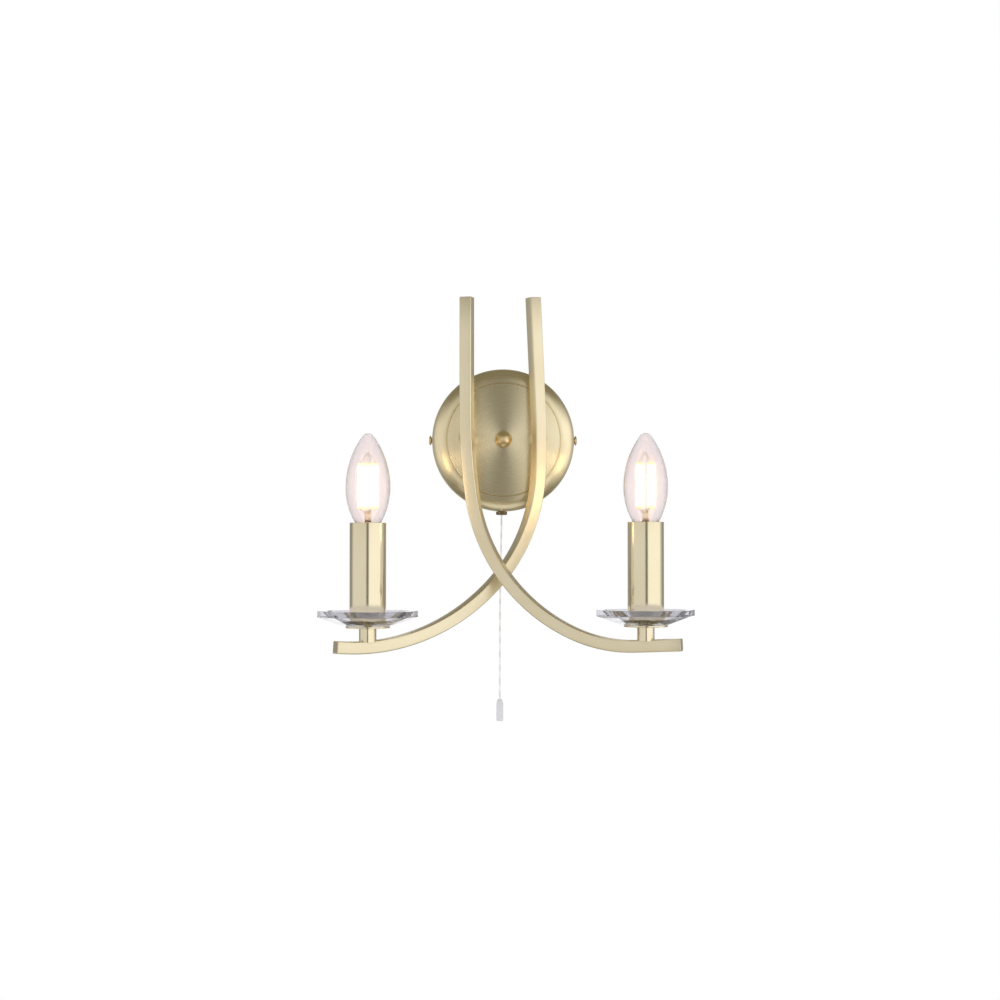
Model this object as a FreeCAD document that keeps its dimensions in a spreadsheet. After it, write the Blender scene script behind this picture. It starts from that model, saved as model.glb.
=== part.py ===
# Double arm wall light: a round stepped backplate carries two square bent arms that
# cross like scissors, each with a crystal drip dish, a candle tube and a lit candle bulb.
# A pull cord under the plate works the switch inside it.
# Millimetres. Origin on the wall plane at the plate's centre, +Z up, the front faces -Y.
import FreeCAD, Part
import math
import os
import re

import Sketcher
from FreeCAD import Placement, Rotation, Vector

# alias, value or formula of other sizes, what it is
SIZES = (
    ("plate_radius", 60.0, "backplate, outer radius at the wall"),
    ("plate_depth", 26.0, "wall to the front of the raised disc"),
    ("plate_wall", 1.0, "spun sheet thickness of the backplate"),
    ("shoulder_radius", 12.0, "rounded shoulder of the rim"),
    ("shoulder_band", 12.8, "rim to the raised disc, sideways"),
    ("disc_radius", "=plate_radius - shoulder_band", "raised flat disc in the middle"),
    ("disc_step", 0.8, "height of the raised disc above the shoulder"),
    ("knob_radius", 7.0, "domed centre knob"),
    ("knob_height", 7.0, "knob, plate to the top of the dome"),
    ("knob_foot_radius", 5.6, "knob, where it meets the plate"),
    ("knob_foot_height", 1.4, "knob, height of its flared foot"),
    ("knob_side_height", 3.15, "knob, plate to the top of its upright side"),
    ("knob_crown_radius", 4.9, "knob, where the dome begins to flatten"),
    ("knob_crown_round", 2.94, "knob, rounding of the crown"),
    ("knob_side_round", 1.75, "knob, rounding of the side"),
    ("stud_radius", 2.0, "centre stud"),
    ("stud_depth", 5.0, "centre stud, length inside the knob"),
    ("stud_tail", 6.0, "centre stud, length behind the reinforcing bar"),
    ("fit_gap", 0.1, "radial clearance of a threaded or sliding fit"),
    ("seat_gap", 0.25, "gap between a loose piece and its seat"),
    ("tab_inset", 2.6, "wall bracket, end tab to the outside of the rim"),
    ("strap_reach", "=plate_radius - tab_inset", "wall bracket, centre to an end tab's face"),
    ("strap_width", 20.0, "wall bracket, height of the strap"),
    ("strap_thickness", 1.5, "wall bracket, sheet thickness"),
    ("tab_depth", 13.0, "wall bracket, how far the end tabs come forward"),
    ("slot_spacing", 84.0, "between the centres of the two wall screw slots"),
    ("slot_length", 10.0, "wall screw slot, end to end"),
    ("slot_width", 5.0, "wall screw slot, across"),
    ("cable_hole_radius", 6.0, "supply cable hole in the strap"),
    ("cable_hole_offset", 18.0, "supply cable hole, sideways from the centre"),
    ("earth_offset", 28.0, "earth screw, sideways from the centre"),
    ("earth_head_radius", 3.5, "earth screw head"),
    ("earth_head_height", 2.4, "earth screw head"),
    ("screw_radius", 2.0, "shank of the side screws and of the earth screw"),
    ("side_screw_depth", 8.0, "side screws, wall to their axis"),
    ("side_head_radius", 4.2, "side screw, domed head"),
    ("side_head_height", 2.4, "side screw, height of the dome"),
    ("side_head_edge", 0.7, "side screw, upright edge of the head"),
    ("side_head_crown", 3.024, "side screw, radius where the dome begins to flatten"),
    ("side_head_round", 1.08, "side screw, rounding of the dome"),
    ("side_screw_tail", 4.0, "side screw, length inside the bracket tab"),
    ("bar_inset", 6.2, "reinforcing bar, its end to the edge of the disc"),
    ("bar_reach", "=disc_radius - bar_inset", "reinforcing bar, centre to its end"),
    ("bar_width", 22.0, "reinforcing bar, height"),
    ("bar_thickness", 1.5, "reinforcing bar, sheet thickness"),
    ("tube_size", 10.0, "arm tube, outer width of the square"),
    ("tube_wall", 1.0, "arm tube, wall thickness"),
    ("tube_corner", 1.0, "arm tube, outer corner radius"),
    ("tube_inner_corner", 0.3, "arm tube, inner corner radius"),
    ("plug_length", 3.0, "arm end plug, length inside the tube"),
    ("lamp_reach", 150.0, "arm, sideways from its top to the lamp axis"),
    ("front_turn", 18.5, "front arm, its plane turned from the wall, degrees"),
    ("front_start", 31.4, "front arm, its top sideways from the centre"),
    ("front_depth", 58.6, "front arm, wall to the centre of its top"),
    ("front_top", 115.3, "front arm, height of its top"),
    ("front_lean", 0.0, "front arm, lean of the top run, degrees"),
    ("front_top_run", 96.3, "front arm, straight run at the top"),
    ("front_upper_radius", 480.0, "front arm, first bend"),
    ("front_upper_angle", 7.8, "front arm, first bend, degrees"),
    ("front_middle_radius", 145.8, "front arm, second bend"),
    ("front_middle_angle", 59.2, "front arm, second bend, degrees"),
    ("front_lower_radius", 116.0, "front arm, third bend"),
    ("front_lower_angle", 25.4, "front arm, third bend, degrees"),
    ("front_end_run", 37.0, "front arm, straight run at the lamp end"),
    ("back_turn", 26.0, "back arm, its plane turned from the wall, degrees"),
    ("back_start", 24.1, "back arm, its top sideways from the centre"),
    ("back_depth", 40.0, "back arm, wall to the centre of its top"),
    ("back_top", 117.5, "back arm, height of its top"),
    ("back_lean", 2.9, "back arm, lean of the top run, degrees"),
    ("back_top_run", 95.5, "back arm, straight run at the top"),
    ("back_upper_radius", 480.0, "back arm, first bend"),
    ("back_upper_angle", 6.2, "back arm, first bend, degrees"),
    ("back_middle_radius", 137.1, "back arm, second bend"),
    ("back_middle_angle", 41.9, "back arm, second bend, degrees"),
    ("back_lower_radius", 176.3, "back arm, third bend"),
    ("back_lower_angle", 48.3, "back arm, third bend, degrees"),
    ("back_end_run", 7.2, "back arm, straight run at the lamp end"),
    ("boss_radius", 7.0, "boss between the plate and an arm"),
    ("boss_bite", 4.5, "length of arm nipple inside a boss"),
    ("arm_nipple_radius", 4.9, "hollow threaded nipple that holds a boss"),
    ("arm_nipple_bore", 3.5, "its bore radius"),
    ("arm_nipple_tail", 1.5, "its length past the nut"),
    ("washer_radius", 7.6, "lock washer under an arm nut"),
    ("washer_thickness", 1.0, "lock washer"),
    ("arm_nut_corner", 8.0, "hexagon nut of an arm nipple, centre to corner"),
    ("arm_nut_height", 3.0, "hexagon nut of an arm nipple"),
    ("wire_hole_radius", 2.6, "wire holes from the arm into the boss and the stem"),
    ("stem_radius", 6.95, "round stem on the arm"),
    ("stem_height", 9.5, "stem, arm to the flange"),
    ("flange_radius", 17.7, "flange disc under the dish"),
    ("flange_height", 2.0, "flange disc"),
    ("flange_foot_radius", 8.45, "flange disc, radius of its flat underside"),
    ("flange_chamfer", 0.8, "flange disc, height of its bevelled underside"),
    ("dish_corner_radius", 40.2, "crystal dish, centre to a corner of the octagon"),
    ("dish_foot_radius", 18.6, "crystal dish, centre to a corner of its foot"),
    ("dish_height", 12.3, "crystal dish"),
    ("dish_rim_height", 4.8, "upright band at the dish's rim"),
    ("dish_recess_depth", 5.7, "hollow in the dish's top"),
    ("dish_recess_top", 33.5, "hollow, radius at the top"),
    ("dish_recess_floor", 25.5, "hollow, radius at its floor"),
    ("dish_turn", 6.7, "crystal dish, first corner from the side, degrees"),
    ("candle_radius", 14.6, "candle tube, outer radius"),
    ("candle_wall", 0.8, "candle tube, wall thickness"),
    ("candle_height", 75.8, "candle tube"),
    ("lamp_nipple_radius", 3.4, "hollow threaded nipple under the lampholder"),
    ("lamp_nipple_bore", 2.3, "its bore radius"),
    ("lamp_nipple_bite", 7.0, "its length inside the stem"),
    ("lamp_nut_corner", 7.0, "hexagon nut on the dish, centre to corner"),
    ("lamp_nut_height", 3.0, "hexagon nut on the dish"),
    ("holder_neck_radius", 7.0, "lampholder, neck"),
    ("holder_neck_height", 26.0, "lampholder, neck"),
    ("holder_cone_height", 4.0, "lampholder, taper from neck to body"),
    ("holder_radius", 11.8, "lampholder, body"),
    ("holder_body_height", 37.0, "lampholder, body above the taper"),
    ("holder_socket_depth", 21.5, "lampholder, depth of the socket"),
    ("holder_thread_depth", 9.0, "lampholder, depth of the tapped foot"),
    ("shell_radius", 7.75, "thread shell of the lampholder, outer radius"),
    ("shell_wall", 0.6, "thread shell, sheet thickness"),
    ("shell_height", 16.0, "thread shell"),
    ("contact_radius", 3.0, "centre contact of the lampholder"),
    ("contact_height", 2.0, "centre contact of the lampholder"),
    ("contact_top_radius", 1.8, "centre contact of the lampholder, its narrow top"),
    ("cap_radius", 6.95, "bulb cap, outer radius of its screw thread"),
    ("cap_height", 16.0, "bulb cap, screw thread"),
    ("cap_wall", 0.3, "bulb cap, sheet thickness"),
    ("cap_skirt_radius", 8.8, "bulb cap, skirt at the glass"),
    ("cap_skirt_height", 2.2, "bulb cap, skirt"),
    ("tip_radius", 2.4, "bulb, centre contact"),
    ("tip_height", 1.2, "bulb, centre contact"),
    ("insulator_height", 2.4, "bulb, insulator between contact and cap"),
    ("glass_height", 74.6, "bulb, glass above the cap"),
    ("glass_radius", 17.9, "bulb, widest radius"),
    ("glass_wide_height", 31.3, "bulb, cap to the widest place"),
    ("glass_wall", 0.7, "bulb, glass thickness"),
    ("glass_tip_radius", 8.0, "bulb, radius of its round tip"),
    ("stem_glass_radius", 2.6, "bulb, glass stem inside"),
    ("stem_glass_height", 12.5, "bulb, glass stem inside"),
    ("stem_glass_flare", 5.0, "bulb, height of the stem's flared foot"),
    ("stem_glass_top", 2.08, "bulb, radius of the stem's top"),
    ("stem_glass_tip", 1.0, "bulb, height of the stem's cone tip"),
    ("filament_radius", 1.1, "bulb, one filament rod"),
    ("filament_length", 36.0, "bulb, one filament rod"),
    ("filament_spread", 6.8, "bulb, axis to a filament rod"),
    ("filament_count", 4, "bulb, number of filament rods"),
    ("filament_turn", 20.0, "bulb, first rod from the side, degrees"),
    ("crown_rise", 9.0, "bulb, filament rods' tops to where their wires meet"),
    ("support_radius", 0.3, "bulb, support wire"),
    ("support_rise", 2.0, "bulb, glass stem's top to the filament rods' feet"),
    ("insulator_spread", 1.0, "bulb, insulator's lip round the contact"),
    ("outlet_offset", 1.2, "cord outlet, sideways from the centre"),
    ("outlet_depth", 8.0, "cord outlet, wall to its axis"),
    ("outlet_radius", 4.7, "cord outlet, collar below the plate"),
    ("outlet_height", 2.7, "cord outlet, collar below the plate"),
    ("outlet_round", 0.81, "cord outlet, rounding of the collar"),
    ("outlet_flare", 1.0, "cord outlet, flare of its mouth"),
    ("outlet_neck_radius", 3.1, "cord outlet, threaded neck"),
    ("outlet_bore", 1.7, "cord outlet, bore radius"),
    ("outlet_nut_corner", 5.6, "cord outlet, hexagon nut, centre to corner"),
    ("outlet_nut_height", 2.2, "cord outlet, hexagon nut"),
    ("outlet_nut_gap", 0.5, "cord outlet, nut to the curved inside of the rim"),
    ("switch_width", 22.0, "pull switch, sideways"),
    ("switch_thickness", 13.0, "pull switch, wall to front"),
    ("switch_height", 22.0, "pull switch body"),
    ("switch_wall", 2.4, "pull switch, wall of the body"),
    ("switch_lid", 2.0, "pull switch, cover"),
    ("slider_height", 6.0, "switch slider, block"),
    ("slider_pin_radius", 1.2, "switch slider, pin that the cord is tied to"),
    ("spring_height", 10.0, "return spring at rest"),
    ("spring_radius", 3.0, "return spring, outer radius"),
    ("spring_wire", 0.9, "return spring, wall of its sleeve"),
    ("contact_thickness", 0.5, "switch contacts"),
    ("pull_travel", 6.0, "pull cord, travel"),
    ("cord_radius", 0.75, "pull cord"),
    ("cord_drop", 155.15, "pull cord, outlet to the top of the pull"),
    ("eye_radius", 1.0, "eye that the cord swings on, at the end of the slider's pin"),
    ("eye_width", 2.0, "eye, front to back"),
    ("eye_rise", 0.9, "eye, its axis above the outlet's mouth"),
    ("eye_gap", 0.15, "eye to the top of the cord"),
    ("cord_drift", 1.5, "pull cord, how far it hangs to the left of its outlet"),
    ("pull_radius", 2.9, "pull at the end of the cord"),
    ("pull_length", 18.5, "pull at the end of the cord"),
    ("pull_top_radius", 2.2, "pull, its narrower top"),
    ("pull_mouth_radius", 1.32, "pull, rim round the cord"),
    ("pull_mouth_height", 1.0, "pull, height of its rounded top"),
    ("pull_cone_height", 3.5, "pull, height where it reaches its full width"),
    ("pull_round", 0.5, "pull, rounding of its foot"),
    ("terminal_width", 22.0, "terminal block, sideways"),
    ("terminal_thickness", 12.0, "terminal block, back to front"),
    ("terminal_height", 16.0, "terminal block, bottom to top"),
    ("terminal_offset", 10.0, "terminal block, sideways from the centre"),
    ("terminal_pitch", 7.0, "terminal block, between two screws"),
    ("terminal_screw_radius", 1.6, "terminal screw"),
    ("lead_radius", 1.4, "wiring in an arm"),
    ("lead_bend", 2.9, "wiring, radius of its tight bends"),
    ("lead_loop", 5.8, "wiring, radius of the bend above the terminal block"),
    ("lead_turn", 4.64, "wiring, radius of the bends into the boss"),
    ("lead_block_depth", 4.2, "wiring, strap to where it enters the terminal block"),
    ("lead_entry_depth", 10.8, "wiring, strap to where it runs behind the boss"),
    ("lead_clear", 12.0, "wiring, rise above the terminal block"),
)
# Bends of a route: the share of the shorter run that one takes up, and the turn in radians
# above which it gets the tight radius instead.
EASY_SHARE = 0.45
SHARP_TURN = 1.0
# Where the hanging cord bends: the shares of its drift and of its drop at its two bends.
CORD_UPPER = (0.12, 0.13)
CORD_LOWER = (0.95, 0.4)

document = FreeCAD.newDocument("double_arm_wall_light")
sheet = document.addObject("Spreadsheet::Sheet", "Sizes")
for row, (alias, value, note) in enumerate(SIZES, start=1):
    sheet.set(f"A{row}", note)
    sheet.set(f"B{row}", str(value))
    sheet.setAlias(f"B{row}", alias)
document.recompute()
ALIASES = [alias for alias, value, note in SIZES]
nodes = []


def size(alias):
    """A driving dimension read back from the sheet."""
    return float(sheet.get(alias))


def linked(formula):
    """The formula with each alias pointing at its cell."""
    words = set(re.findall(r"[a-z_]+", str(formula)))
    for word in words.intersection(ALIASES):
        formula = re.sub(rf"\b{word}\b", f"Sizes.{word}", formula)
    return str(formula)


def bind(item, **formulas):
    """Bind properties of an object to the sheet."""
    for name, formula in formulas.items():
        item.setExpression(name, linked(formula))
    return item


def spot(item, x="0", y="0", z="0"):
    """Bind an object's place to the sheet."""
    for axis, formula in (("x", x), ("y", y), ("z", z)):
        item.setExpression(f".Placement.Base.{axis}", linked(formula))
    return item


def node(item, label):
    """Name a finished sub-part and list it for writing."""
    item.Label = label
    nodes.append(item)
    return item


# Directions that a turned piece's axis can have: its own axis is +Z.
UP = Rotation()
FORWARD = Rotation(Vector(1, 0, 0), 90)
RIGHT = Rotation(Vector(0, 1, 0), 90)
LEFT = Rotation(Vector(0, 1, 0), -90)
DOWN = Rotation(Vector(1, 0, 0), 180)


def outline_sketch(body, outline, name):
    """A closed polygon of (radius, height) formulas in a body's XZ plane, each bound."""
    sketch = body.newObject("Sketcher::SketchObject", name)
    plane = [part for part in body.Origin.OriginFeatures if part.Role == "XZ_Plane"][0]
    sketch.AttachmentSupport = [(plane, "")]
    sketch.MapMode = "FlatFace"
    corners = []
    for across, along in outline:
        bound = Vector(evaluate(across), evaluate(along), 0)
        corners.append(bound)
    count = len(corners)
    for index in range(count):
        line = Part.LineSegment(corners[index], corners[(index + 1) % count])
        sketch.addGeometry(line, False)
    for index in range(count):
        following = (index + 1) % count
        sketch.addConstraint(Sketcher.Constraint("Coincident", index, 2, following, 1))
    for index, (across, along) in enumerate(outline):
        for kind, formula, amount in (("DistanceX", across, corners[index].x),
                                      ("DistanceY", along, corners[index].y)):
            place = sketch.addConstraint(Sketcher.Constraint(kind, index, 1, amount))
            sketch.setExpression(f"Constraints[{place}]", linked(formula))
    return sketch


def evaluate(formula):
    """The value of a formula of aliases, worked out by a scratch cell of the sheet."""
    sheet.set("E1", "=" + re.sub(r"Sizes\.", "", linked(formula)))
    sheet.recompute()
    return float(sheet.get("E1"))


def turned(name, outline, turn=UP, base=Vector(0, 0, 0)):
    """A lathe-turned piece: its outline spun about its own axis."""
    body = document.addObject("PartDesign::Body", name)
    sketch = outline_sketch(body, outline, name + "_outline")
    spin = body.newObject("PartDesign::Revolution", name + "_spin")
    spin.Profile = sketch
    spin.ReferenceAxis = (sketch, ["V_Axis"])
    spin.Angle = 360.0
    body.Placement = Placement(base, turn)
    return body


def soften(body, radius, wanted, name):
    """Round the circular edges of a turned body that pass the test."""
    document.recompute()
    base = body.Tip
    edges = []
    for index, edge in enumerate(base.Shape.Edges, start=1):
        if isinstance(edge.Curve, Part.Circle) and wanted(edge.Curve.Radius, edge.Curve.Center.z):
            edges.append(f"Edge{index}")
    fillet = body.newObject("PartDesign::Fillet", name)
    fillet.Base = (base, edges)
    bind(fillet, Radius=radius)
    body.Tip = fillet
    return fillet


def near(value, target):
    return abs(value - target) < 0.01


def cylinder(name, radius, height, turn=UP, x="0", y="0", z="0"):
    """A straight round bar or drill."""
    bar = document.addObject("Part::Cylinder", name)
    bar.Placement = Placement(Vector(0, 0, 0), turn)
    bind(bar, Radius=radius, Height=height)
    spot(bar, x, y, z)
    return bar


def box(name, length, width, height, x, y, z):
    """A square block from its lowest corner."""
    block = document.addObject("Part::Box", name)
    bind(block, Length=length, Width=width, Height=height)
    spot(block, x, y, z)
    return block


def fuse(name, *pieces):
    joined = document.addObject("Part::MultiFuse", name)
    joined.Shapes = list(pieces)
    return joined


def cut(name, base, *tools):
    """Take tools out of a base piece."""
    tool = tools[0] if len(tools) == 1 else fuse(name + "_tools", *tools)
    result = document.addObject("Part::Cut", name)
    result.Base = base
    result.Tool = tool
    return result


def group(name, *pieces):
    """Like fasteners that share one node, each its own solid."""
    bundle = document.addObject("Part::Compound", name)
    bundle.Links = list(pieces)
    return bundle


def shaped(name, shape):
    """A piece whose form only Part's own functions can make."""
    item = document.addObject("Part::Feature", name)
    item.Shape = shape
    return item


def hexagon_nut(name, corner, height, bore, turn, base):
    """A hexagon nut with its seat at the base point and its axis along the turn."""
    prism = document.addObject("Part::Prism", name + "_prism")
    prism.Polygon = 6
    bind(prism, Circumradius=corner, Height=height)
    prism.Placement = Placement(base, turn)
    drill = document.addObject("Part::Cylinder", name + "_bore")
    bind(drill, Radius=bore, Height=height)
    drill.Placement = Placement(base, turn)
    return cut(name, prism, drill)


# ---------------------------------------------------------------- the arms' centrelines
class Arm:
    """One bent arm: its centreline is straight runs and arcs in one upright plane."""

    def __init__(self, name, side):
        self.name = name
        self.side = side
        turn = math.radians(size(name + "_turn"))
        self.along = Vector(side * math.cos(turn), -math.sin(turn), 0)
        self.across = Vector(side * math.sin(turn), math.cos(turn), 0)
        self.top = Vector(-side * size(name + "_start"), -size(name + "_depth"),
                          size(name + "_top"))
        self.stretches = []
        heading = -math.radians(size(name + "_lean"))
        place = (0.0, 0.0)
        place = self.straight(place, heading, size(name + "_top_run"))
        for bend in ("upper", "middle", "lower"):
            radius = size(f"{name}_{bend}_radius")
            angle = math.radians(size(f"{name}_{bend}_angle"))
            place = self.bend(place, heading, radius, angle)
            heading += angle
        self.straight(place, heading, size(name + "_end_run"))

    def straight(self, place, heading, length):
        self.stretches.append(("run", place, heading, length, 0.0))
        return (place[0] + length * math.sin(heading), place[1] - length * math.cos(heading))

    def bend(self, place, heading, radius, angle):
        self.stretches.append(("bend", place, heading, radius, angle))
        middle = (place[0] + radius * math.cos(heading), place[1] + radius * math.sin(heading))
        later = heading + angle
        return (middle[0] - radius * math.cos(later), middle[1] - radius * math.sin(later))

    def point(self, place):
        """A place in the arm's plane as a point in space."""
        return self.top + self.along * place[0] + Vector(0, 0, place[1])

    def spots(self, step):
        """Places and headings along the centreline, about a step apart."""
        found = []
        for kind, place, heading, measure, angle in self.stretches:
            length = measure if kind == "run" else measure * angle
            count = max(2, int(length / step) + 1)
            for index in range(count):
                part = index / count
                if kind == "run":
                    reach = measure * part
                    found.append((place[0] + reach * math.sin(heading),
                                  place[1] - reach * math.cos(heading), heading))
                else:
                    later = heading + angle * part
                    middle = (place[0] + measure * math.cos(heading),
                              place[1] + measure * math.sin(heading))
                    found.append((middle[0] - measure * math.cos(later),
                                  middle[1] - measure * math.sin(later), later))
        return found

    def at_reach(self, reach):
        """Height below the top and heading where the arm has gone this far sideways."""
        trail = self.spots(0.5)
        best = min(trail, key=lambda item: abs(item[0] - reach))
        shift = reach - best[0]
        return best[1] - shift / math.tan(best[2]), best[2]

    def at_height(self, height):
        """Place on the centreline at a height in space, near the top of the arm."""
        wanted = height - self.top.z
        trail = self.spots(0.5)
        best = min(trail, key=lambda item: abs(item[1] - wanted))
        shift = wanted - best[1]
        return best[0] - shift * math.tan(best[2]), wanted

    def swept(self, half, corner, shorten=0.0):
        """The rounded square carried along the centreline, as one solid."""
        kind, place, heading, measure, angle = self.stretches[0]
        start = self.point(place)
        direction = self.along * math.sin(heading) + Vector(0, 0, -math.cos(heading))
        inward = self.along * math.cos(heading) + Vector(0, 0, math.sin(heading))
        face = rounded_square(start, inward, self.across, half, corner)
        pieces = []
        for kind, place, heading, measure, angle in self.stretches:
            if kind == "run":
                direction = self.along * math.sin(heading) + Vector(0, 0, -math.cos(heading))
                pieces.append(face.extrude(direction * measure))
                face.translate(direction * measure)
            else:
                middle = (place[0] + measure * math.cos(heading),
                          place[1] + measure * math.sin(heading))
                axis = self.across * -self.side
                centre = self.point(middle)
                pieces.append(face.revolve(centre, axis, math.degrees(angle)))
                face.rotate(centre, axis, math.degrees(angle))
        solid = pieces[0].multiFuse(pieces[1:])
        return solid.removeSplitter().Solids[0]

    def end(self):
        """Centre and direction of the arm's lamp end."""
        kind, place, heading, measure, angle = self.stretches[-1]
        direction = self.along * math.sin(heading) + Vector(0, 0, -math.cos(heading))
        return self.point(place) + direction * measure, direction, heading


def rounded_square(centre, first, second, half, corner):
    """A square face with rounded corners about a centre."""
    flat = half - corner
    diagonal = flat + corner * math.sqrt(0.5)
    edges = []
    sides = ((1, 0), (0, 1), (-1, 0), (0, -1))
    for index in range(4):
        ahead = sides[index]
        beside = sides[(index + 1) % 4]
        face_end = spread(centre, first, second, ahead, half, beside, flat)
        face_start = spread(centre, first, second, ahead, half, beside, -flat)
        round_middle = spread(centre, first, second, ahead, diagonal, beside, diagonal)
        round_end = spread(centre, first, second, ahead, flat, beside, half)
        edges.append(Part.LineSegment(face_start, face_end).toShape())
        edges.append(Part.Arc(face_end, round_middle, round_end).toShape())
    return Part.Face(Part.Wire(edges))


def spread(centre, first, second, ahead, near_side, beside, far_side):
    """A point of the section from its distances along two of its directions."""
    across = ahead[0] * near_side + beside[0] * far_side
    along = ahead[1] * near_side + beside[1] * far_side
    return centre + first * across + second * along


def rounded_route(points, bends):
    """Straight runs joined by tangent arcs, one radius for each inner point."""
    edges = []
    start = points[0]
    for index in range(1, len(points) - 1):
        back = (points[index - 1] - points[index]).normalize()
        ahead = (points[index + 1] - points[index]).normalize()
        half = back.getAngle(ahead) / 2
        radius = bends[index - 1]
        trim = radius / math.tan(half)
        first = points[index] + back * trim
        last = points[index] + ahead * trim
        middle = (back + ahead).normalize()
        peak = points[index] + middle * (radius / math.sin(half) - radius)
        edges.append(Part.LineSegment(start, first).toShape())
        edges.append(Part.Arc(first, peak, last).toShape())
        start = last
    edges.append(Part.LineSegment(start, points[-1]).toShape())
    return Part.Wire(edges)


def tube_along(wire, radius):
    """A round tube along a tangent route."""
    start = wire.Edges[0]
    ahead = (start.lastVertex().Point - start.firstVertex().Point).normalize()
    ring = Part.Wire(Part.makeCircle(radius, wire.Edges[0].firstVertex().Point, ahead))
    shell = Part.BRepOffsetAPI.MakePipeShell(wire)
    shell.add(ring)
    shell.build()
    shell.makeSolid()
    return shell.shape()


front = Arm("front", 1)
back = Arm("back", -1)
ARMS = ((front, "right"), (back, "left"))
half_tube = size("tube_size") / 2


# ---------------------------------------------------------------- backplate and knob
def backplate():
    """Spun cup with a rounded shoulder, a raised disc and its holes."""
    face = "plate_depth - disc_step"
    cup = turned("plate_cup", (("0", "0"), ("plate_radius", "0"), ("plate_radius", face),
                               ("disc_radius", face), ("disc_radius", "plate_depth"),
                               ("0", "plate_depth")), FORWARD)
    top = size("plate_depth") - size("disc_step")
    soften(cup, "shoulder_radius",
           lambda radius, height: near(radius, size("plate_radius")) and near(height, top),
           "plate_shoulder")
    inner_face = "plate_depth - disc_step - plate_wall"
    hollow = turned("plate_hollow", (("0", "-1"), ("plate_radius - plate_wall", "-1"),
                                     ("plate_radius - plate_wall", inner_face),
                                     ("disc_radius - plate_wall", inner_face),
                                     ("disc_radius - plate_wall", "plate_depth - plate_wall"),
                                     ("0", "plate_depth - plate_wall")), FORWARD)
    soften(hollow, "shoulder_radius - plate_wall",
           lambda radius, height: near(radius, size("plate_radius") - size("plate_wall"))
           and near(height, top - size("plate_wall")), "hollow_shoulder")
    drills = [hollow]
    for arm, label in ARMS:
        place = boss_place(arm)
        drill = cylinder(f"plate_{label}_drill", "arm_nipple_radius + fit_gap",
                         "plate_depth + 2 * plate_wall", FORWARD)
        clear_place(drill, Vector(place.x, 0, 0))
        drills.append(drill)
    drills.append(cylinder("plate_stud_drill", "stud_radius + fit_gap",
                           "plate_depth + 2 * plate_wall", FORWARD))
    drills.append(cylinder("plate_side_drill", "screw_radius + fit_gap", "2 * plate_radius + 4",
                           RIGHT, "-plate_radius - 2", "-side_screw_depth", "0"))
    drills.append(cylinder("plate_outlet_drill", "outlet_neck_radius + fit_gap",
                           "plate_radius / 2", DOWN, "-outlet_offset", "-outlet_depth",
                           "-plate_radius / 2 - 2"))
    return node(cut("backplate_cut", cup, *drills), "backplate")


def clear_place(item, place):
    """Give an object a worked-out place in place of a bound one."""
    for axis in ("x", "y", "z"):
        item.setExpression(f".Placement.Base.{axis}", None)
    item.Placement = Placement(place, item.Placement.Rotation)


def centre_knob():
    """Domed knob with a blind tapped hole, screwed on the centre stud."""
    base = Vector(0, -size("plate_depth"), 0)
    dome = turned("knob_dome", (("0", "0"), ("knob_foot_radius", "0"),
                                ("knob_radius", "knob_foot_height"),
                                ("knob_radius", "knob_side_height"),
                                ("knob_crown_radius", "knob_height"), ("0", "knob_height")),
                  FORWARD, base)
    soften(dome, "knob_crown_round",
           lambda radius, height: near(radius, size("knob_crown_radius")), "knob_crown")
    soften(dome, "knob_side_round",
           lambda radius, height: near(radius, size("knob_radius"))
           and near(height, size("knob_side_height")), "knob_side")
    hole = cylinder("knob_hole", "stud_radius + fit_gap", "stud_depth + seat_gap", FORWARD,
                    "0", "-plate_depth", "0")
    node(cut("knob_cut", dome, hole), "centre_knob")
    stud = cylinder("stud", "stud_radius",
                    "stud_depth + plate_wall + bar_thickness + stud_tail", FORWARD, "0",
                    "-plate_depth + plate_wall + bar_thickness + stud_tail", "0")
    node(stud, "centre_stud")


def side_screws():
    """Two domed screws through the rim into the bracket's end tabs."""
    pieces = []
    for name, turn, side in (("right_screw", RIGHT, 1), ("left_screw", LEFT, -1)):
        screw = turned(name, (("0", "strap_reach - side_screw_tail"),
                              ("screw_radius", "strap_reach - side_screw_tail"),
                              ("screw_radius", "plate_radius + seat_gap"),
                              ("side_head_radius", "plate_radius + seat_gap"),
                              ("side_head_radius", "plate_radius + seat_gap + side_head_edge"),
                              ("side_head_crown",
                               "plate_radius + seat_gap + side_head_height"),
                              ("0", "plate_radius + seat_gap + side_head_height")),
                       turn, Vector(0, -size("side_screw_depth"), 0))
        soften(screw, "side_head_round",
               lambda radius, height: near(radius, size("side_head_crown")),
               name + "_dome")
        pieces.append(screw)
    node(group("side_screw_pair", *pieces), "side_screws")


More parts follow.
